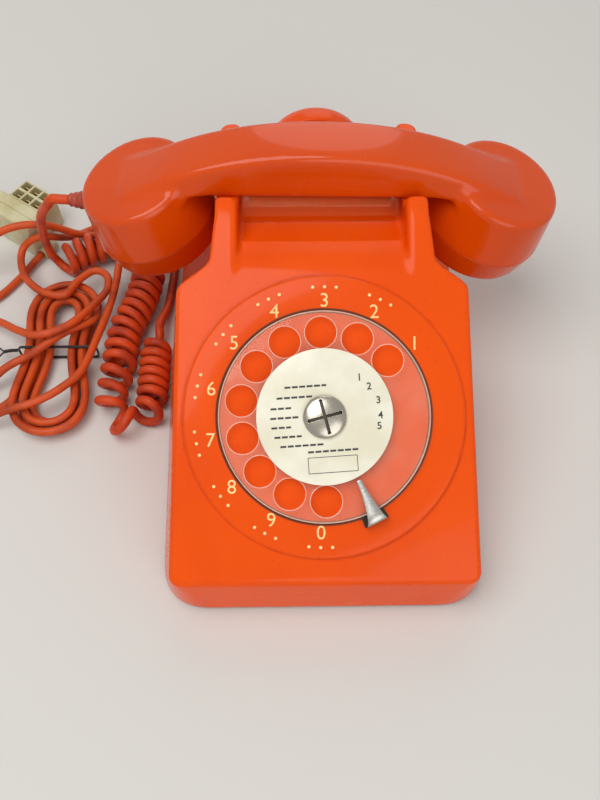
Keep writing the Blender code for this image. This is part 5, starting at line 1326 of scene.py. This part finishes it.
def makeCaps():
    # shallow cups screwed on below the seams, their faces dished towards the sound holes
    bottom = -cup["drop"]
    inner = handset["capsule"] + 0.0012
    for name, node, side in (("talkingCap", "mouth_cap", -1), ("listeningCap", "ear_cap", 1)):
        seam = -cup["seamDrop"] - cordShape["gap"]
        profile = [(0.0, bottom + 0.0012), (0.0150, bottom + 0.0006), (cup["cap"] - 0.0030, bottom),
                   (cup["cap"] - 0.0008, bottom + 0.0012), (cup["cap"], bottom + 0.0032),
                   (cup["seam"] - 0.0001, seam - 0.0005), (cup["seam"] - 0.0006, seam), (inner, seam),
                   (inner, bottom + 0.0034), (0.0, bottom + 0.0034)]
        # the caps' orange is a darker copy of the casing's, painted shade
        finish = orangePlastic(name + "Plastic", shade=0.74, coat=0.45)
        cap = capPiece(name, profile, cupFrame(side), finish, "handset")
        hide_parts(node)


makeHandset()
makeCaps()
print("handset is in its cradle")


earpiece = {"z": 0.0555, "radius": 0.0270, "cap": 0.0080, "groove": 0.0040, "neck": 0.0220,
            "depth": 0.0180, "standOff": 0.0010, "fork": 0.0028, "forkOut": 0.0290,
            "ribHalf": 0.0100, "ribThick": 0.0030}
earFace = rearY(earpiece["z"] - earpiece["radius"]) + earpiece["standOff"]


def makeEarpiece():
    # a turned cap and a turned back with a neck between them, hung by the neck in a half-round fork
    e = earpiece
    place = standing((0.0, 1.0, 0.0), at((0.0, earFace, e["z"])))
    groove, gap = e["cap"], cordShape["gap"]
    low, top = groove + e["groove"], groove + e["groove"] + e["depth"]
    wide = e["radius"]
    profile = [(0.0, 0.0012), (0.0150, 0.0007), (wide - 0.0028, 0.0), (wide - 0.0006, 0.0012),
               (wide, 0.0030), (wide, groove - 0.0008), (wide - 0.0008, groove - gap),
               (0.0150, groove - gap), (0.0150, 0.0034), (0.0, 0.0034)]
    cap = capPiece("earpieceFace", profile, place, orangePlastic("orangeEarCap"), "second_earpiece")
    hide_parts("earpiece_cap")
    profile = [(0.0110, groove), (e["neck"] - 0.0006, groove), (e["neck"] - 0.0006, low),
               (wide - 0.0008, low), (wide, low + 0.0010), (wide, low + 0.0060), (0.0252, low + 0.0110),
               (0.0215, low + 0.0150), (0.0160, top - 0.0012), (0.0090, top), (0.0030, top),
               (0.0030, top - 0.0024), (0.0140, top - 0.0036), (0.0200, low + 0.0110),
               (0.0220, low + 0.0060), (0.0220, low + 0.0040), (0.0110, low + 0.0040)]
    shell = lathe("earpieceBack", profile, place, orangePlastic("orangeEar"), "second_earpiece",
                  128, 0.0016)
    stud = [(0.0, top - 0.0020), (0.0028, top - 0.0020), (0.0028, top + 0.0002), (0.0, top + 0.0003)]
    lathe("earpieceStud", stud, place, metal("studMetal", (0.55, 0.53, 0.50), 0.3), "second_earpiece",
          48, 0.0002)
    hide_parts("earpiece_shell")
    outline = np.vstack([radius * np.column_stack([np.cos(turn), np.sin(turn)]) for radius, turn in
                         ((e["forkOut"], np.linspace(math.pi, 2 * math.pi, 40)),
                          (e["neck"] + gap, np.linspace(2 * math.pi, math.pi, 60)))])
    forkY = earFace + e["cap"] + (e["groove"] - e["fork"]) / 2
    rings = [np.column_stack([outline[:, 0], np.full(len(outline), y), e["z"] + outline[:, 1]])
             for y in (forkY, forkY + e["fork"])]
    points, faces = lofted(rings)
    fork = addPiece("earpieceFork", at(points), faces, orangePlastic("orangeFork"), "telephone_base")
    facingOut(fork)
    ribTop = e["z"] - e["radius"] - 0.0006
    rootY = rearY(ribTop - 0.0004) + gap
    rib = cutter(*boxSolid(at((-e["ribHalf"], rootY, ribTop - e["ribThick"])),
                           at((e["ribHalf"], forkY + e["fork"] - 0.0002, ribTop))))
    carved(fork, solidChange("UNION", rib), bevel(0.0006, 3, 50.0))
    fork.data.polygons.foreach_set("use_smooth", np.full(len(fork.data.polygons), True))
    sharpen(fork, 50.0)
    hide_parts("earpiece_hook")


makeEarpiece()
print("second earpiece hangs on its fork")


def sleeveFinish(name):
    # dusty soft vinyl
    finish = Finish(name)
    dust = finish.noise(0.004, 3.0).band(0.35, 0.7)
    finish.set(Base_Color=finish.mix(dust, srgb(176, 62, 34), srgb(140, 52, 32)),
               Roughness=0.45 + 0.2 * dust,
               Normal=finish.bump(finish.noise(0.0008, 2.0), 0.00003, 0.5))
    return finish


def ribbed(start, length, wide, narrow, ribs):
    # a sleeve that narrows along its length, with a rounded groove between its ribs
    along = np.linspace(0.0, 1.0, 8 * ribs + 1)
    radius = wide + (narrow - wide) * along - 0.00045 * (0.5 - 0.5 * np.cos(2 * math.pi * ribs * along))
    return list(zip(radius, start + length * along))


def makeSleeves():
    # three glands through the rear wall and a boot on the handset, each turned round its cord
    sleeve = sleeveFinish("vinylSleeve")
    body, inside = 0.0046, -casing["wall"] - 0.0020
    for name, cord in (("line", "line"), ("handset", "curly"), ("earpiece", "line")):
        x, shank = cordShape[name + "X"], casing["glandHole"] - cordShape["gap"]
        profile = [(0.0, inside), (shank, inside), (shank, 0.0012), (body, 0.0012), (body, 0.0030)]
        profile += ribbed(0.0034, cordShape["gland"] - 0.0036, body - 0.0004,
                          cordShape[cord] / 2 + 0.0008, 2)
        profile += [(0.0, cordShape["gland"])]
        place = standing((0.0, 1.0, 0.0), at((x, rearY(cordShape["glandZ"]), cordShape["glandZ"])))
        gland = lathe(name + "Gland", profile, place, sleeve, "telephone_base", 48,
                      0.0003)
        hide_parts(name + "_gland")
    profile = [(0.0, 0.0), (boot["radius"], 0.0), (boot["radius"], 0.0014)]
    profile += ribbed(0.0018, boot["length"] - 0.0020, boot["radius"] - 0.0002,
                      cordShape["curly"] / 2 + 0.0009, 3)
    profile += [(0.0, boot["length"])]
    piece = lathe("handsetSleeve", profile, bootFrame(), sleeve, "handset", 64, 0.0003)
    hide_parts("handset_boot")


makeSleeves()
print("cord entries are sleeved")


def ivoryFinish(name):
    # ivory moulding, yellowed in patches and specked with dirt
    finish = Finish(name, Coat_Weight=0.2, Coat_Roughness=0.2)
    yellowed = finish.noise(0.014, 3.0).band(0.3, 0.75)
    dirt = finish.noise(0.0020, 4.0).band(0.62, 0.80)
    tone = finish.mix(yellowed, srgb(208, 202, 162), srgb(188, 176, 128))
    finish.set(Base_Color=finish.mix(dirt * 0.5, tone, srgb(110, 96, 64)),
               Roughness=0.38 + 0.15 * yellowed)
    return finish


def makePlug():
    # a grooved body with its cord outlet, and a block with six open cells and their blades
    place = plugFrame()
    length, depth, height = plugShape["size"]
    points, faces = boxSolid((-length, 0.0, 0.0), (0.0, depth, height))
    body = addPiece("plugBody", transformed(points, place), faces, ivoryFinish("ivoryBody"),
                    "telephone_base")
    facingOut(body)
    turned = place @ standing((0.0, 1.0, 0.0), plugShape["outletAt"])
    outlet = cutter(*discSolid(plugShape["outlet"], 0.0, 0.0095, turned, 48))
    grooves = [cutter(*placedBox((-length - 0.001, depth * 0.5 - 0.0002, low),
                                 (0.001, depth * 0.5 + 0.0002, high), place))
               for low, high in ((-0.001, 0.0004), (height - 0.0004, height + 0.001))]
    carved(body, bevel(plugShape["edge"], 4, 50.0),
           *[solidChange("DIFFERENCE", groove) for groove in grooves], solidChange("UNION", outlet))
    sharpen(body, 40.0)
    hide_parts("plug_body")
    wide, deep, tall = plugShape["block"]
    left = -plugShape["blockIn"] - wide
    low = depth + cordShape["gap"]
    points, faces = boxSolid((left, low, 0.0005), (left + wide, low + deep, tall + 0.0005))
    block = addPiece("plugContacts", transformed(points, place), faces, ivoryFinish("ivoryContacts"),
                     "telephone_base")
    facingOut(block)
    cells, blades = [], []
    for i in (-1, 0, 1):
        for j in (-0.5, 0.5):
            x = left + wide / 2 + i * plugShape["cellPitch"][0]
            y = low + deep / 2 + j * plugShape["cellPitch"][1]
            cells.append(cutter(*placedBox((x - 0.0029, y - 0.0026, tall - 0.0095),
                                           (x + 0.0029, y + 0.0026, tall + 0.0030), place)))
            blades.append(placedBox((x - 0.0020, y - 0.0004, tall - 0.0100),
                                    (x + 0.0020, y + 0.0004, tall - 0.0012), place))
    carved(block, bevel(plugShape["blockEdge"], 3, 50.0),
           *[solidChange("DIFFERENCE", cell) for cell in cells])
    sharpen(block, 40.0)
    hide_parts("plug_contact_block")
    points = np.vstack([b[0] for b in blades])
    faces = [tuple(8 * n + v for v in face) for n, blade in enumerate(blades) for face in blade[1]]
    contacts = addPiece("plugBlades", points, faces, metal("bladeBrass", (0.72, 0.50, 0.20), 0.3),
                        "telephone_base", smooth=False)
    return body, block, facingOut(contacts)


def placedBox(low, high, matrix):
    points, faces = boxSolid(low, high)
    return transformed(points, matrix), faces


tie = {"corner": 0.0030, "wide": 0.0016, "thick": 0.0007, "slack": 0.0016, "above": 0.0010,
       "strand": 0.00048, "pitch": 0.00055, "twists": 3.5, "twistTo": 0.62, "parting": 0.0032,
       "length": 0.0120, "from": 0.0075, "fall": 0.0035}


def makeTie():
    # a flat band swept round the hank's waist, with its two ends wound together and then parting
    reach = hank["waist"] + hank["pitch"] * hank["inner"] + cordShape["line"] / 2 + tie["slack"]
    high = hank["low"] + hank["layer"] + cordShape["line"] / 2 + tie["above"]
    corner, wide, thick = tie["corner"], tie["wide"], tie["thick"]
    centreX, centreY = hank["centre"][0], hank["centre"][1] + hank["half"] * hank["waistAt"]
    loop = []
    side, low, top = reach - corner, 0.0001 + corner, high - corner
    for quarter, (x, z) in enumerate(((side, low), (side, top), (-side, top), (-side, low))):
        angle = (quarter - 1 + np.linspace(0.0, 1.0, 10)) * math.pi / 2
        outward = np.column_stack([np.cos(angle), np.sin(angle)])
        loop.append(np.hstack([(x, z) + corner * outward, outward]))
    loop = np.vstack(loop)
    across = np.array([(-1, -0.4), (-0.8, 0.0), (0.8, 0.0), (1, -0.4),
                       (1, -0.6), (0.8, -1.0), (-0.8, -1.0), (-1, -0.6)])
    offset = thick * across[None, :, 1]
    ringY = np.broadcast_to(centreY + wide / 2 * across[:, 0], (len(loop), len(across)))
    rings = np.stack([centreX + loop[:, :1] + loop[:, 2:3] * offset, ringY,
                      loop[:, 1:2] + loop[:, 3:4] * offset], axis=-1)
    faces = gridFaces(len(loop), len(across), closeRows=True, closeColumns=True).tolist()
    band = addPiece("tieBand", at(rings.reshape(-1, 3)), faces, blackTie, "telephone_base")
    sharpen(facingOut(band), 50.0)
    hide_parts("cord_tie")
    t = np.linspace(0.0, 1.0, 70)
    part = tie["pitch"] + tie["parting"] * ease((t - tie["twistTo"]) / (1.0 - tie["twistTo"]))
    strands = []
    for name, first in (("tieEndA", math.pi), ("tieEndB", 0.0)):
        turn = 2 * math.pi * tie["twists"] * np.minimum(t, tie["twistTo"]) / tie["twistTo"] + first
        path = np.column_stack([centreX - reach - 0.0006 - tie["length"] * t,
                                centreY + part * np.cos(turn),
                                tie["from"] - tie["fall"] * t ** 2 + tie["pitch"] * np.sin(turn)])
        strands.append(tube(name, at(path), tie["strand"], blackTie, "telephone_base", 8))
    return band, *strands


def makeHookBar():
    # a clear lipped strip across the recess, with an arm at each end down to the pivot pin
    pivot = (cup["y"] + 0.0085, 0.0720)
    top = 0.0980 - cordShape["gap"]
    front = casing["rampEnd"] + 0.0008
    back, half = front + 0.0160, 0.0345
    lip = [(front, top - 0.0062), (front + 0.0020, top - 0.0062), (front + 0.0020, top - 0.0024),
           (front + 0.0024, top - 0.0020), (back, top - 0.0020), (back, top), (front, top)]
    points, faces = lofted([[(x, y, z) for y, z in lip] for x in (-half, half)])
    clear = clearPlastic("clearHook", 0.16, srgb(226, 120, 70))
    bar = addPiece("hookBar", at(points), faces, clear, "cradle_hook")
    facingOut(bar)
    arms = []
    for ends in ((-0.0347, -0.0316), (0.0316, 0.0347)):
        arm = [(front + 0.0004, top - 0.0060), (front + 0.0030, top - 0.0060),
               (pivot[0] - 0.0060, top - 0.0105), (pivot[0] - 0.0042, pivot[1] + 0.0010),
               (pivot[0] - 0.0032, pivot[1] - 0.0030), (pivot[0] + 0.0032, pivot[1] - 0.0030),
               (pivot[0] + 0.0042, pivot[1] + 0.0010), (pivot[0] + 0.0042, top - 0.0035),
               (front + 0.0004, top - 0.0003)]
        points, faces = lofted([[(x, y, z) for y, z in arm] for x in ends])
        arms.append(cutter(at(points), faces))
    bore = cutter(*discSolid(0.0018, -0.05, 0.05, standing((1.0, 0.0, 0.0), at((0.0, *pivot))), 24))
    carved(bar, *[solidChange("UNION", arm) for arm in arms], solidChange("DIFFERENCE", bore),
           bevel(0.0003, 2, 50.0))
    sharpen(bar, 40.0)
    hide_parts("hook_bar")


tuple(at(glandMouth(cordShape["lineX"])))
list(makePlug())
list(makeTie())
makeHookBar()
print("plug, tie and hook bar are made")


def rubberFinish():
    # black rubber with dust in its grain
    finish = Finish("footRubber")
    dust = finish.noise(0.0030, 3.0).band(0.4, 0.7)
    finish.set(Base_Color=finish.mix(dust, (0.020, 0.019, 0.018), (0.075, 0.068, 0.060)),
               Roughness=0.75 + 0.15 * dust,
               Normal=finish.bump(finish.noise(0.0006, 2.0), 0.00004, 0.6))
    return finish


def boardFinish():
    # brown paper board with a faint weave
    finish = Finish("brownBoard")
    weave = finish.noise(0.0008, 2.0, spot=finish.place(scale=(1.0, 4.0, 1.0))).band(0.35, 0.65)
    finish.set(Base_Color=finish.mix(weave, (0.22, 0.10, 0.035), (0.16, 0.07, 0.025)), Roughness=0.5)
    return finish


def windingFinish():
    # turns of enamelled wire: a fine sine along the coil, raised as a bump and painted darker in the
    # grooves and lighter on the crests as shade and highlight
    finish = Finish("enamelWire")
    spot = finish.place()
    run = finish.node("ShaderNodeSeparateXYZ", None, {0: spot}, out=2)
    turns = finish.node("ShaderNodeMath", {"operation": "SINE"}, {0: run * 9000.0})
    # painted shade in the grooves between turns and painted highlight on their crests
    finish.set(Base_Color=finish.mix(turns * 0.5 + 0.5, (0.30, 0.080, 0.020), (0.52, 0.20, 0.06)),
               Roughness=0.32, Metallic=0.4, Normal=finish.bump(turns, 0.00008, 0.8))
    return finish


def mouldedFinish(name, colour, dull):
    # dull moulding or casing, a third darker in patches
    finish = Finish(name)
    patches = finish.noise(0.006, 3.0).band(0.35, 0.70)
    finish.set(Base_Color=finish.mix(patches, colour, tuple(0.7 * v for v in colour)),
               Roughness=dull + 0.12 * patches,
               Normal=finish.bump(finish.noise(0.0012, 2.0), 0.00003, 0.5))
    return finish


def dressSolids():
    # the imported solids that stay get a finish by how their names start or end
    families = [
        (metal("zincPlate", (0.44, 0.44, 0.42), 0.38), ["base_plate", "dial_case"]),
        (metal("screwSteel", (0.52, 0.50, 0.47), 0.30), ["base_screw"]),
        (metal("bracketSteel", (0.47, 0.46, 0.44), 0.34),
         ["hook_bracket", "hook_pivot_pin", "ringer_frame", "gong_post", "dial_spindle",
          "dial_clamp_ring", "clapper"]),
        (metal("gongNickel", (0.66, 0.64, 0.60), 0.18), ["gong_left", "gong_right"]),
        (metal("gearBrass", (0.70, 0.49, 0.19), 0.30), ["main_gear", "pulse_pinion", "governor"]),
        (rubberFinish(), ["foot"]),
        (boardFinish(), ["circuit_board"]),
        (windingFinish(), ["ringer_coil", "induction_coil"]),
        (mouldedFinish("terminalBlack", (0.10, 0.042, 0.018), 0.4),
         ["terminal_block", "hook_contacts", "pulse_contacts"]),
        (mouldedFinish("capacitorCase", (0.45, 0.36, 0.20), 0.45), ["capacitor"]),
        (mouldedFinish("capsuleBlack", (0.030, 0.029, 0.028), 0.42), ["capsule"]),
        (mouldedFinish("volumeGrey", (0.30, 0.30, 0.29), 0.45), ["volume_wheel"]),
    ]
    for name, node in frame["nodes"].items():
        for finish, starts in families:
            if name.startswith(tuple(starts)) or name.endswith(tuple(starts)):
                for slot in node.material_slots:
                    slot.material = finish.material
                break


dressSolids()
print("solids inside are dressed")
